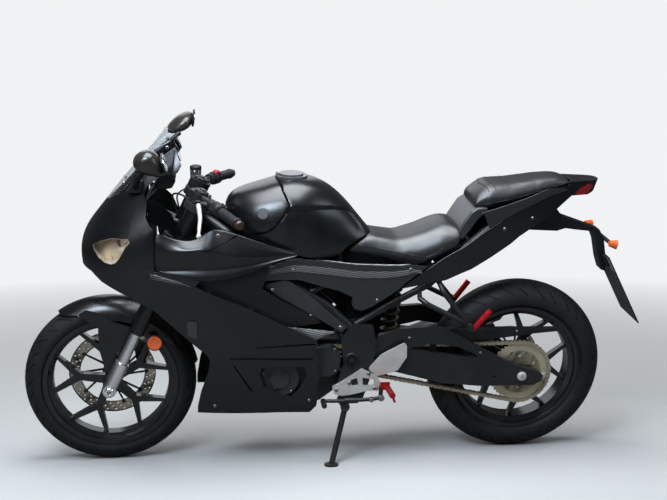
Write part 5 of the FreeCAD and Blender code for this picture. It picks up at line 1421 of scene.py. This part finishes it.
class BIKE_OT_cockpit(bpy.types.Operator):
    """Dash, mirror glasses, yoke nuts and screen fastenings"""

    bl_idname = "bike.cockpit"
    bl_label = "Cockpit"

    def execute(self, context):
        self.dash()
        self.mirror_faces()
        self.yoke()
        self.screen()
        return {"FINISHED"}

    def dash(self):
        """Housing behind the screen, with a dark display."""
        housing = bmesh.new()
        add_slab(housing, DASH_OUTLINE, -DASH_HALF, DASH_HALF)
        finish_piece("dash_housing", clean(housing), "chassis", "trim",
                     ("instrument_panel",), bevel=0.006, segments=3)
        display = bmesh.new()
        middle = DISPLAY_SPOT + DISPLAY_OUT * 0.001
        corners = [middle + Vector((0, a, 0)) + DISPLAY_UP * b for a, b in DISPLAY_CORNERS]
        add_plate(display, corners, DISPLAY_OUT * 0.0022)
        finish_piece("dash_display", clean(display), "chassis", "display", bevel=0.0006)

    def mirror_faces(self):
        """Glasses in their rims, turned to the rider."""
        glass, rims = bmesh.new(), bmesh.new()
        for centre, tilt in MIRROR_FACES:
            turn = Matrix.Rotation(math.radians(tilt), 3, "Y")
            for bm, size, depth in ((glass, 0.90, 0.0262), (rims, 1.0, 0.0245)):
                outline = []
                for k in range(MIRROR_POINTS):
                    across, high = swollen(2 * math.pi * k / MIRROR_POINTS)
                    outline.append(Vector(centre) + turn @ Vector(
                        (-depth, MIRROR_WIDE * size * across, MIRROR_HIGH * size * high - MIRROR_DROP)))
                add_plate(bm, outline, turn @ Vector((0.006, 0, 0)))
        finish_piece("mirror_rims", clean(rims), "chassis", "trim", bevel=0.0008)
        finish_piece("mirror_glasses", clean(glass), "chassis", "glass", bevel=0.0005)

    def yoke(self):
        """Nuts and pinch bolts of the upper yoke, and the lock."""
        nuts = bmesh.new()
        head = Vector((steer_x(YOKE_TOP), 0, YOKE_TOP)) + STEER_AXIS * 0.014
        add_hex(nuts, head, STEER_AXIS, 0.015, 0.010)
        for side in SIDES:
            top = Vector((fork_x(FORK_TOP), side * FORK_Y, FORK_TOP))
            add_turned(nuts, top, top + STEER_AXIS,
                       [(-0.002, 0.0235), (0.004, 0.0235), (0.006, 0.0200), (0.007, 0.0110),
                        (0.011, 0.0100), (0.011, 0.004)], 28)
            clamp = Vector((fork_x(BAR_CLAMP_Z), side * FORK_Y, BAR_CLAMP_Z))
            for drop in (-0.008, 0.008):
                add_bolt(nuts, clamp + Vector((-0.034, side * 0.012, drop)), (-1, side * 0.35, 0), 0.0048)
        finish_piece("yoke_nuts", outward(nuts), "steering", "clamp", angle=40)
        key = bmesh.new()
        lock = Vector((steer_x(YOKE_TOP) + 0.034, 0, 0.918))
        add_turned(key, lock, lock + STEER_AXIS,
                   [(-0.012, 0.017), (0.006, 0.017), (0.009, 0.014), (0.009, 0.004)], 24)
        finish_piece("ignition_lock", outward(key), "steering", "trim", angle=40)

    def screen(self):
        """Painted highlights as bright beads along the windscreen's edges, and its screws."""
        tree = skin_of("windscreen")
        edge_highlights, screws = bmesh.new(), bmesh.new()
        for side in SIDES:
            add_seam(edge_highlights, tree, ((1.386, 0.972), (1.330, 1.026), (1.262, 1.087), (1.180, 1.138)),
                     0.0016, side)
            add_seam(edge_highlights, tree, ((1.204, 1.163), (1.192, 1.148), (1.172, 1.120), (1.163, 1.104)),
                     0.0020, side)
        # Painted highlight along the screen's edges.
        finish_piece("screen_edge_highlights", outward(edge_highlights), "chassis", "edge", angle=60)
        skin_bolts(screws, tree, ((1.345, 0.988), (1.275, 1.052), (1.203, 1.110)), 0.0062)
        finish_piece("screen_screws", outward(screws), "chassis", "bolt", angle=40)


SIDE_BOLTS = (
    ("side_beams", 0.0062, ((0.519, 0.606), (0.409, 0.712), (0.800, 0.716))),
    ("frame_covers", 0.0072, ((0.640, 0.512), (0.868, 0.648))),
    ("tail_cowl", 0.0058, ((0.092, 0.840), (-0.006, 0.872))),
    ("upper_side_cowls", 0.0078, ((1.046, 0.846),)),
    ("lower_side_cowls", 0.0060, ((1.110, 0.462), (0.742, 0.252), (1.060, 0.243))),
    ("engine_covers", 0.0052, ((0.770, 0.380), (0.762, 0.345), (0.858, 0.300), (0.803, 0.286),
                               (0.898, 0.352), (0.742, 0.402), (0.655, 0.425), (0.650, 0.345))),
    ("rearsets", 0.0066, ((0.650, 0.288), (0.540, 0.345), (0.520, 0.290), (0.606, 0.312))),
    ("swingarm", 0.0055, ((0.400, 0.460), (0.150, 0.400))),
)
GUARD_BOLTS = ((0.410, 0.462), (0.020, 0.466))
PIVOT_CAP = (0.599, 0.138, 0.393)
AXLE_CLAMP_Z = 0.318


class BIKE_OT_fasteners(bpy.types.Operator):
    """Bolts, nuts and caps on cowls, beams, engine covers and axles"""

    bl_idname = "bike.fasteners"
    bl_label = "Fasteners"

    def execute(self, context):
        bright = bmesh.new()
        for node, radius, places in SIDE_BOLTS:
            skin_bolts(bright, skin_of(node), places, radius)
        skin_bolts(bright, skin_of("chain_guard"), GUARD_BOLTS, 0.0052, (1,))
        finish_piece("side_bolts", outward(bright), "chassis", "bolt", angle=40)
        caps, nuts, ends = bmesh.new(), bmesh.new(), bmesh.new()
        add_ends(caps, *PIVOT_CAP, [(0, 0.026), (0.008, 0.026), (0.011, 0.023), (0.011, 0.016),
                                    (0.009, 0.015), (0.009, 0.004)], 36)
        finish_piece("pivot_caps", outward(caps), "chassis", "trim", angle=40)
        add_ends(nuts, 0, 0.130, REAR_RADIUS,
                 [(-0.002, 0.0165), (0.001, 0.0165), (0.002, 0.0140), (0.009, 0.0135), (0.010, 0.0115),
                  (0.010, 0.0060), (0.003, 0.0055)], 24)
        for side in SIDES:
            add_tube(nuts, [(x, side * 0.115, REAR_RADIUS) for x in (-0.074, -0.086)], 0.0045)
        finish_piece("rear_axle_nuts", outward(nuts), "chassis", "alloy", angle=40)
        add_ends(ends, WHEELBASE, 0.122, FRONT_RADIUS,
                 [(0, 0.0165), (0.003, 0.0165), (0.006, 0.0135), (0.006, 0.0080), (0.001, 0.0075)], 28)
        for side in SIDES:
            add_bolt(ends, (fork_x(AXLE_CLAMP_Z), side * 0.114, AXLE_CLAMP_Z), (0, side, 0), 0.0056)
        finish_piece("front_axle_ends", outward(ends), "steering", "chrome", angle=40)
        return {"FINISHED"}


TANK_GAP = ((0.966, 0.838), (0.942, 0.831), (0.893, 0.844), (0.861, 0.864), (0.829, 0.903),
            (0.813, 0.930), (0.832, 0.970), (0.843, 0.990))
UPPER_GAP = ((0.984, 0.846), (1.009, 0.833), (1.038, 0.820), (1.088, 0.802))
LOWER_GAP = ((1.010, 0.430), (0.930, 0.427), (0.840, 0.420), (0.736, 0.414))
TAIL_GAP = ((0.131, 0.846), (0.045, 0.894), (-0.075, 0.941), (-0.136, 0.955))
REAR_INSERT = ((0.819, 0.533), (0.703, 0.530), (0.655, 0.503), (0.724, 0.482))
FRONT_INSERT = ((1.262, 0.729), (1.168, 0.702), (1.130, 0.684), (1.190, 0.690), (1.262, 0.710))
STEP_TRIM = ((0.250, 0.822), (0.232, 0.852), (0.206, 0.892), (0.182, 0.908), (0.146, 0.908),
             (0.150, 0.892), (0.178, 0.866), (0.204, 0.828), (0.228, 0.796), (0.246, 0.800))


class BIKE_OT_seams(bpy.types.Operator):
    """Panel gaps as black beads of painted shade, laid-on carbon and mesh inserts, and the trim between the
    seats
    """

    bl_idname = "bike.seams"
    bl_label = "Seams and inserts"

    def execute(self, context):
        gaps = bmesh.new()
        tank = skin_of("fuel_tank", "tank_cover")
        upper = skin_of("upper_side_cowls")
        lower = skin_of("lower_side_cowls")
        tail = skin_of("tail_cowl", "tail_panels")
        for side in SIDES:
            add_seam(gaps, tank, TANK_GAP, 0.0017, side)
            add_seam(gaps, upper, UPPER_GAP, 0.0018, side, 0.0008)
            add_seam(gaps, lower, LOWER_GAP, 0.0024, side, 0.001)
            add_seam(gaps, tail, TAIL_GAP, 0.0014, side)
        # Painted shade: black beads along the seams stand for the shade in the panel gaps.
        finish_piece("panel_gap_shade", outward(gaps), "chassis", "gap", angle=60)
        for name, outline, finish, thickness in (
            ("rear_mesh_inserts", REAR_INSERT, "mesh", 0.0008),
            ("front_mesh_inserts", FRONT_INSERT, "faint", 0.0006),
        ):
            patch = skin_patch("lower_side_cowls", outline)
            walled(finish_piece(name, patch, "chassis", finish, angle=50), thickness)
        trim = bmesh.new()
        add_slab(trim, STEP_TRIM, -0.108, 0.108)
        finish_piece("seat_step_trim", clean(trim), "chassis", "step", bevel=0.007,
                     segments=3)
        return {"FINISHED"}


SHOCK_HEAD = Vector((0.430, 0, 0.694))
SHOCK_FOOT = Vector((0.456, 0, 0.404))
COIL_TURNS = 6.5
COIL_STEPS = 24
COIL_RADIUS = 0.0275
PLATE_TOP = Vector((-0.2905, 0, 0.716))
PLATE_FOOT = Vector((-0.4165, 0, 0.4875))


class BIKE_OT_rear(bpy.types.Operator):
    """Coil spring, damper, and the blank plate with its backing"""

    bl_idname = "bike.rear"
    bl_label = "Shock and plate"

    def execute(self, context):
        self.shock()
        self.plate()
        return {"FINISHED"}

    def shock(self):
        """Damper with spring seats, and a coil round it."""
        foot, head = SHOCK_FOOT, SHOCK_HEAD
        along = (head - foot).normalized()
        reach = (head - foot).length
        damper = bmesh.new()
        add_turned(damper, foot, head,
                   [(-0.002, 0.012), (0.030, 0.013), (reach * 0.45, 0.013), (reach * 0.45, 0.022),
                    (reach * 0.80, 0.022), (reach * 0.81, 0.030), (reach * 0.84, 0.030),
                    (reach * 0.85, 0.020), (reach - 0.004, 0.018)], 28)
        add_drum(damper, foot, (0, 1, 0), 0.014, 0.044, 24)
        add_drum(damper, head, (0, 1, 0), 0.021, 0.040, 24)
        add_turned(damper, foot + along * 0.040, head,
                   [(0, 0.016), (0.002, 0.031), (0.006, 0.031), (0.008, 0.016)], 28)
        finish_piece("damper", outward(damper), "chassis", "clamp", ("shock_absorber",),
                     bevel=0.0008)
        coil = bmesh.new()
        across = along.orthogonal().normalized()
        up = along.cross(across)
        points = []
        for index in range(int(COIL_TURNS * COIL_STEPS) + 1):
            angle = 2 * math.pi * index / COIL_STEPS
            rise = 0.052 + (reach * 0.80 - 0.058) * index / (COIL_TURNS * COIL_STEPS)
            points.append(foot + along * rise + across * (COIL_RADIUS * math.cos(angle))
                          + up * (COIL_RADIUS * math.sin(angle)))
        add_tube(coil, points, 0.0052, 10)
        finish_piece("coil_spring", outward(coil), "chassis", "spring", angle=60)

    def plate(self):
        """Blank plate face with a rim, on a black backing."""
        finish_piece("plate_backing", upright_copy("number_plate"), "chassis", "trim",
                     ("number_plate",), bevel=0.0006)
        top, foot = PLATE_TOP, PLATE_FOOT
        rear = Vector((foot.z - top.z, 0, top.x - foot.x)).normalized()
        rear = rear if rear.x < 0 else -rear
        corners = [(top.lerp(foot, share) + rear * 0.0016, half)
                   for share, half in ((0, 0.080), (0.03, 0.086), (0.97, 0.086), (1, 0.080))]
        loop = [Vector((p.x, -h, p.z)) for p, h in corners]
        loop += [Vector((p.x, h, p.z)) for p, h in reversed(corners)]
        face = bmesh.new()
        made = bmesh.ops.contextual_create(face, geom=ring_of(face, loop))
        bmesh.ops.inset_region(face, faces=made["faces"], thickness=0.004, depth=0.0008)
        walled(finish_piece("blank_plate_face", clean(face), "chassis", "plate", angle=30),
               -0.001)


RIDER_WELT = ((0.262, 0.812), (0.300, 0.778), (0.352, 0.748), (0.430, 0.758), (0.520, 0.772),
              (0.590, 0.780))
PILLION_WELT = ((0.172, 0.914), (0.110, 0.926), (0.020, 0.944), (-0.080, 0.970), (-0.130, 0.980))
STRAP_STARTS = (0.158, 0.134, 0.110, 0.086)
STRAP_HALF = 0.088


class BIKE_OT_seat_trim(bpy.types.Operator):
    """Welts along the seats and strap seams over the pillion pad's nose"""

    bl_idname = "bike.seat_trim"
    bl_label = "Cover welts"

    def execute(self, context):
        welts = bmesh.new()
        trees = []
        for node, _, _ in SEAT_PADS:
            bm = bmesh.new()
            bm.from_mesh(bpy.data.objects[node + "_cover"].data)
            bmesh.ops.transform(bm, matrix=UPRIGHT, verts=bm.verts)
            trees.append(BVHTree.FromBMesh(bm))
            bm.free()
        rider, pillion = trees
        for side in SIDES:
            add_seam(welts, rider, RIDER_WELT, 0.0016, side)
            add_seam(welts, pillion, PILLION_WELT, 0.0015, side)
        for start in STRAP_STARTS:
            spots = []
            for k in range(25):
                share = k / 24 * 2 - 1
                spot = Vector((start - 0.016 * abs(share), share * STRAP_HALF, 1.1))
                hit, _, _, _ = pillion.ray_cast(spot, Vector((0, 0, -1)))
                if hit is not None:
                    spots.append(hit)
            if len(spots) > 4:
                add_tube(welts, spots, 0.0014, 6)
        finish_piece("seat_welts", outward(welts), "chassis", "welt", angle=60)
        return {"FINISHED"}


MIRROR_HEADS = (
    (1, ((1.307, 1.112), (1.291, 1.147), (1.252, 1.160), (1.222, 1.146), (1.196, 1.064), (1.240, 1.070),
         (1.287, 1.084))),
    (-1, ((1.222, 1.098), (1.171, 1.152), (1.117, 1.164), (1.114, 1.128), (1.133, 1.104), (1.168, 1.090),
          (1.205, 1.084))),
)
MIRROR_SPAN = (0.256, 0.374)
POD_SECTIONS = ((0, 0.3), (0.07, 0.66), (0.25, 0.9), (0.5, 1.0), (0.75, 0.94), (0.93, 0.7), (1, 0.34))


class BIKE_OT_mirrors(bpy.types.Operator):
    """Swept mirror pods on short stalks"""

    bl_idname = "bike.mirrors"
    bl_label = "Mirrors"

    def execute(self, context):
        heads, stalks = bmesh.new(), bmesh.new()
        inner, outer = MIRROR_SPAN
        for side, outline in MIRROR_HEADS:
            middle = outline_middle(outline)
            sections = []
            for share, size in POD_SECTIONS:
                y = side * (inner + share * (outer - inner))
                sections.append([middle + Vector((x - middle.x, 0, z - middle.z)) * size
                                 + Vector((0, y, 0.010 * (share - 0.5))) for x, z in outline])
            skin_over(heads, sections)
            foot = Vector((1.306, side * 0.112, 0.992))
            knee = Vector((1.290 if side > 0 else 1.250, side * 0.19, 1.040))
            top = middle + Vector((0.004, side * 0.262, -0.022))
            add_tube(stalks, smooth_run([foot, knee, top]), 0.0115, 12, 0.0080)
            add_slab(stalks, [(1.335, 0.975), (1.300, 1.018), (1.282, 1.012), (1.288, 0.972)],
                     side * 0.098, side * 0.124)
        refined(finish_piece("mirror_pods", outward(heads), "chassis", "mirror",
                             ("mirrors",), angle=70), 2)
        finish_piece("mirror_stalks", outward(stalks), "chassis", "trim", bevel=0.002)
        return {"FINISHED"}


# Near-black sheets inside the bike: painted shade in the hollow cockpit and behind the beams, where boxes
# also sit.
DARK_PANELS = (
    (0.128, ((1.268, 0.955), (1.222, 0.933), (1.192, 0.905), (1.160, 0.828), (1.231, 0.862),
             (1.266, 0.880))),
    (0.086, ((0.925, 0.715), (0.800, 0.762), (0.480, 0.752), (0.320, 0.742), (0.335, 0.692),
             (0.398, 0.640), (0.470, 0.598), (0.535, 0.570), (0.600, 0.556), (0.690, 0.640),
             (0.840, 0.690))),
    (0.086, ((0.615, 0.520), (0.540, 0.525), (0.455, 0.588), (0.430, 0.640), (0.505, 0.640),
             (0.600, 0.590))),
    (0.105, ((0.800, 0.520), (0.715, 0.548), (0.655, 0.503), (0.660, 0.470), (0.800, 0.470))),
)
CROWN_EDGE = ((0.905, 0.712), (0.860, 0.729), (0.812, 0.745), (0.779, 0.749), (0.681, 0.740),
              (0.595, 0.728), (0.498, 0.723), (0.438, 0.722), (0.408, 0.722), (0.372, 0.714))
CROWN_DEPTH = 0.042


class BIKE_OT_inner_panels(bpy.types.Operator):
    """Dark panels behind the beams and in the cockpit, partly boxes, partly painted shade, and the beams'
    tilted top edge with a painted highlight
    """

    bl_idname = "bike.inner_panels"
    bl_label = "Inner panels and painted shade"

    def execute(self, context):
        dark, crowns = bmesh.new(), bmesh.new()
        run = smooth_run([Vector((x, 0, z)) for x, z in CROWN_EDGE], 5)
        for side in SIDES:
            for y, outline in DARK_PANELS:
                add_slab(dark, outline, side * y, side * (y + 0.003))
            sections = []
            for index, spot in enumerate(run):
                share = min(max(index / (len(run) - 1), 0.06), 0.94)
                depth = CROWN_DEPTH * math.sin(math.pi * share) ** 0.5
                sections.append([Vector((spot.x, side * y, spot.z + z)) for y, z in (
                    (0.1500, -depth), (0.1525, -depth), (0.1525, -depth * 0.55), (0.1440, -depth * 0.16),
                    (0.1300, 0.0015), (0.1260, -0.002), (0.1400, -depth * 0.5))])
            skin_over(crowns, sections)
        # Painted shade: near-black sheets where the bike's inside lies in shade.
        finish_piece("inner_panels_and_painted_shade", clean(dark), "chassis", "gap", smooth=False)
        # Painted highlight: the beams' tilted tops take the lighter weave.
        finish_piece("beam_crowns_painted_highlight", outward(crowns), "chassis", "painted_sheen", angle=55)
        return {"FINISHED"}


REFLECTOR = (1.257, 0.100, 0.455)
REFLECTOR_ARM = ((1.258, 0.1025, 0.455), (1.300, 0.1025, 0.463))


class BIKE_OT_reflectors(bpy.types.Operator):
    """Round side reflectors in black rims"""

    bl_idname = "bike.reflectors"
    bl_label = "Reflectors"

    def execute(self, context):
        rims, lenses = bmesh.new(), bmesh.new()
        add_ends(rims, *REFLECTOR, [(0.0, 0.020), (0.0, 0.0270), (0.0065, 0.0270), (0.0075, 0.0255),
                                    (0.0060, 0.0240), (0.0060, 0.010)], 40)
        add_ends(lenses, *REFLECTOR,
                 [(0.004, 0.010), (0.004, 0.0243), (0.0078, 0.0236), (0.0088, 0.0190), (0.0082, 0.0180),
                  (0.0090, 0.0120), (0.0084, 0.0110), (0.0092, 0.003)], 40)
        for side in SIDES:
            add_tube(rims, [(x, side * y, z) for x, y, z in REFLECTOR_ARM], 0.0055, 10)
        finish_piece("reflector_rims", outward(rims), "steering", "trim", angle=40)
        finish_piece("reflector_lenses", outward(lenses), "steering", "amber",
                     ("reflectors",), angle=40)
        return {"FINISHED"}


TEETH = 44
TOOTH_RADII = (0.1015, 0.1065, 0.1065, 0.1015)
SPROCKET_ARMS = 6
SPROCKET_FACES = (0.0832, 0.0888)
RING_BORE = 0.0790
ARM_Y = 0.0838
ARM_THICK = 0.0045
ARM_OUTLINE = ((-0.0135, 0.050), (0.0135, 0.050), (0.02295, 0.0815), (-0.02295, 0.0815))


class BIKE_OT_foot_parts(bpy.types.Operator):
    """Red pegs, black gear and brake rods, and a slotted rear sprocket"""

    bl_idname = "bike.foot_parts"
    bl_label = "Pegs, rods and sprocket"

    def execute(self, context):
        pegs = upright_copy("foot_controls")
        drop = [face for face in pegs.faces if face.calc_center_median().x > 0.515]
        bmesh.ops.delete(pegs, geom=drop, context="FACES")
        finish_piece("rider_pegs", pegs, "chassis", "red", ("foot_controls",), bevel=0.001)
        self.rods()
        self.sprocket()
        return {"FINISHED"}

    def rods(self):
        """Gear and brake rods with their joints."""
        rods, tips = bmesh.new(), bmesh.new()
        for side in SIDES:
            y = side * 0.166
            add_tube(rods, [(0.500, y, 0.262), (0.529, y, 0.257), (0.621, y, 0.253), (0.690, y, 0.255)],
                     0.0072, 10, 0.0062)
            add_drum(rods, (0.6, y, 0.254), (1, 0, 0.02), 0.0098, 0.046, 12)
            add_tube(rods, [(0.497, side * 0.156, 0.300), (0.499, side * 0.160, 0.262)], 0.0075, 10)
            add_drum(tips, (0.498, side * 0.170, 0.262), (0, side, 0), 0.0105, 0.014, 18)
            add_drum(tips, (0.532, side * 0.170, 0.257), (0, side, 0), 0.0080, 0.016, 18)
            add_drum(rods, (0.696, side * 0.186, 0.255), (0, side, 0), 0.0092, 0.046, 18)
        finish_piece("shift_rods", outward(rods), "chassis", "frame", bevel=0.0008)
        finish_piece("shift_joints", outward(tips), "chassis", "bolt", bevel=0.0008)

    def sprocket(self):
        """Toothed ring on arms round a hub, with the carrier behind it."""
        plate = bmesh.new()
        corners = TEETH * 4
        turns = [2 * math.pi * k / corners for k in range(corners)]
        ring = [(TOOTH_RADII[k % 4] * math.cos(turn), TOOTH_RADII[k % 4] * math.sin(turn))
                for k, turn in enumerate(turns)]
        inner = [(RING_BORE * math.cos(turn), RING_BORE * math.sin(turn)) for turn in turns]
        near, far = SPROCKET_FACES
        loops = []
        for y, points in ((near, inner), (near, ring), (far, ring), (far, inner), (near, inner)):
            loops.append([REAR_HUB + Vector((x, y, z)) for x, z in points])
        skin_over(plate, loops, cap=False)
        for arm in range(SPROCKET_ARMS):
            turned = Matrix.Rotation(2 * math.pi * arm / SPROCKET_ARMS, 3, "Y")
            quad = [REAR_HUB + turned @ Vector((x, ARM_Y, z)) for x, z in ARM_OUTLINE]
            skin_over(plate, [quad, [point + Vector((0, ARM_THICK, 0)) for point in quad]])
        axle = REAR_HUB + Vector((0, 1, 0))
        add_turned(plate, REAR_HUB + Vector((0, near, 0)), axle,
                   [(0, 0.030), (0, 0.0525), (0.0056, 0.0525), (0.0056, 0.030)], 48)
        wheel_bolts(plate, REAR_HUB, far, 0.058, 6, 0.0055, 0.005, 1)
        bmesh.ops.remove_doubles(plate, verts=plate.verts, dist=0.00002)
        finish_piece("slotted_sprocket", outward(plate), "rear_wheel", "sprocket",
                     ("rear_sprocket",), bevel=0.0005, angle=40)
        carrier = bmesh.new()
        add_turned(carrier, REAR_HUB + Vector((0, 0.052, 0)), axle,
                   [(0, 0.058), (0.022, 0.056), (0.030, 0.050), (0.036, 0.030), (0.040, 0.024)], 48)
        finish_piece("sprocket_carrier", outward(carrier), "rear_wheel", "rim", angle=40)


# Stage and finishes

WHITE_LIGHT = (0.90, 0.95, 1.0)
COOL_LIGHT = (0.74, 0.86, 1.0)
FLOOR_REACH = 14.0
LENS_LENGTH = 63.77
CAMERA_SPOT = (1.1194 + ORIGIN_X, 4.1149 + ORIGIN_Y, 1.1252)
CAMERA_YAW = math.radians(6.727)
CAMERA_PITCH = math.radians(5.687)
CAMERA_ROLL = math.radians(-0.176)


class BIKE_OT_stage(bpy.types.Operator):
    """Floor, backdrop, lamps and the camera at the photograph's viewpoint"""

    bl_idname = "bike.stage"
    bl_label = "Stage and camera"

    def execute(self, context):
        stage = context.scene.bike_stage
        self.floor(stage)
        self.lamps(stage)
        self.world(stage)
        self.camera(context)
        context.scene.view_settings.view_transform = "Standard"
        return {"FINISHED"}

    def floor(self, stage):
        """Pale floor that fades into the backdrop for the camera alone."""
        bm = bmesh.new()
        bmesh.ops.create_grid(bm, x_segments=1, y_segments=1, size=FLOOR_REACH)
        floor = placed("studio_floor", mesh_from(bm, "studio_floor"))
        material, shade, socket, place = new_material("Pale studio floor")
        clouds = shade.noise(place, 1.2, 4.0, 0.5)
        colour = shade.blend(clouds, rgba(stage.floor_colour), rgba(stage.floor_colour, 0.97))
        seen = shade.add("ShaderNodeLightPath").outputs["Is Camera Ray"]
        shade.link(shade.blend(seen, rgba(stage.floor_colour, 0.35), colour), socket["Base Color"])
        preset(socket, Roughness=0.6, Specular_IOR_Level=0.2)
        far = shade.add("ShaderNodeVectorMath", operation="LENGTH")
        shade.link(place, far.inputs[0])
        fade = shade.math("MULTIPLY", shade.ramp(far.outputs["Value"], 1.6, 5.5), seen)
        haze = shade.add("ShaderNodeEmission")
        preset(haze.inputs, Color=rgba(stage.wall_colour))
        shade.mix_surfaces(fade, shade.node("BSDF_PRINCIPLED").outputs[0], haze.outputs[0])
        floor.data.materials.append(material)

    def lamps(self, stage):
        for name, power, colour, place, aim, size in (
            ("overhead_softbox", stage.key_power, WHITE_LIGHT, (0.2, 0.5, 3.4), (0.0, -0.1, 0.5), 2.4),
            ("window_softbox", stage.window_power, COOL_LIGHT, (1.6, 2.9, 3.3), (0.2, 0.1, 0.7), 1.5),
            ("camera_side_softbox", stage.fill_power, WHITE_LIGHT, (2.4, 4.0, 2.4), (0.1, 0.0, 0.5), 2.0),
            ("rear_softbox", stage.fill_power, COOL_LIGHT, (-3.0, 1.6, 2.4), (-0.3, 0.0, 0.6), 1.6),
            ("far_side_softbox", stage.fill_power, WHITE_LIGHT, (0.3, -3.4, 2.6), (0.0, 0.0, 0.6), 2.4),
        ):
            lamp = bpy.data.lights.new(name, "AREA")
            lamp.energy = power
            lamp.color = colour
            lamp.size = size
            piece = placed(name, lamp)
            piece.location = place
            piece.rotation_euler = (Vector(aim) - Vector(place)).to_track_quat("-Z", "Y").to_euler()

    def world(self, stage):
        """Dim light from all around, behind a pale backdrop."""
        world = bpy.data.worlds.new("Pale room")
        bpy.context.scene.world = world
        world.use_nodes = True
        shade = Shade(world.node_tree)
        light = shade.node("BACKGROUND")
        preset(light.inputs, Color=(0.95, 0.97, 1.0, 1), Strength=stage.room_light)
        seen = shade.add("ShaderNodeBackground")
        preset(seen.inputs, Color=rgba(stage.wall_colour), Strength=1.0)
        path = shade.add("ShaderNodeLightPath").outputs
        straight = shade.math("MAXIMUM", path["Is Camera Ray"], path["Is Transmission Ray"])
        shade.mix_surfaces(straight, light.outputs[0], seen.outputs[0], "OUTPUT_WORLD")

    def camera(self, context):
        eye = bpy.data.cameras.new("Camera")
        eye.sensor_width = 36.0
        eye.lens = LENS_LENGTH
        camera = placed("Camera", eye)
        level = math.cos(CAMERA_PITCH)
        ahead = Vector((-math.sin(CAMERA_YAW) * level, -math.cos(CAMERA_YAW) * level,
                        -math.sin(CAMERA_PITCH)))
        camera.location = CAMERA_SPOT
        turn = ahead.to_track_quat("-Z", "Y").to_matrix()
        camera.rotation_euler = (turn @ Matrix.Rotation(CAMERA_ROLL, 3, "Z")).to_euler()
        context.scene.camera = camera


class BIKE_OT_finishes(bpy.types.Operator):
    """Give every CAD node its finish"""

    bl_idname = "bike.finishes"
    bl_label = "Finishes"

    def execute(self, context):
        FINISH.update(finishes())
        for finish, nodes in NODE_FINISHES.items():
            for node in nodes:
                data = NODES[node].data
                data.materials.clear()
                data.materials.append(FINISH[finish])
        return {"FINISHED"}


class BIKE_PT_pieces(bpy.types.Panel):
    """Sidebar list of the bike's pieces"""

    bl_label = "Motorcycle"
    bl_idname = "BIKE_PT_pieces"
    bl_space_type = "VIEW_3D"
    bl_region_type = "UI"
    bl_category = "Motorcycle"

    def draw(self, context):
        layout = self.layout
        scene = context.scene
        for group in (scene.bike_colours, scene.bike_sizes, scene.bike_stage):
            box = layout.box()
            for name in group.__annotations__:
                box.prop(group, name)
        for operator in OPERATORS:
            layout.operator(operator.bl_idname)


OPERATORS = (
    BIKE_OT_finishes,
    BIKE_OT_castings,
    BIKE_OT_tyres,
    BIKE_OT_brakes,
    BIKE_OT_chain,
    BIKE_OT_tank,
    BIKE_OT_seats,
    BIKE_OT_cowls,
    BIKE_OT_lamps,
    BIKE_OT_controls,
    BIKE_OT_cockpit,
    BIKE_OT_fasteners,
    BIKE_OT_seams,
    BIKE_OT_rear,
    BIKE_OT_seat_trim,
    BIKE_OT_mirrors,
    BIKE_OT_inner_panels,
    BIKE_OT_reflectors,
    BIKE_OT_foot_parts,
    BIKE_OT_stage,
)

GROUP_SETTINGS = (
    ("bike_colours", BikeColours),
    ("bike_sizes", BikeSizes),
    ("bike_stage", StageSettings),
)


def register():
    for name, group in GROUP_SETTINGS:
        bpy.utils.register_class(group)
        setattr(bpy.types.Scene, name, PointerProperty(type=group))
    for operator in OPERATORS:
        bpy.utils.register_class(operator)
    bpy.utils.register_class(BIKE_PT_pieces)


def unregister():
    bpy.utils.unregister_class(BIKE_PT_pieces)
    for operator in reversed(OPERATORS):
        bpy.utils.unregister_class(operator)
    for name, group in reversed(GROUP_SETTINGS):
        delattr(bpy.types.Scene, name)
        bpy.utils.unregister_class(group)


def main():
    register()
    for operator in OPERATORS:
        family, name = operator.bl_idname.split(".")
        getattr(getattr(bpy.ops, family), name)()


if __name__ == "__main__":
    main()
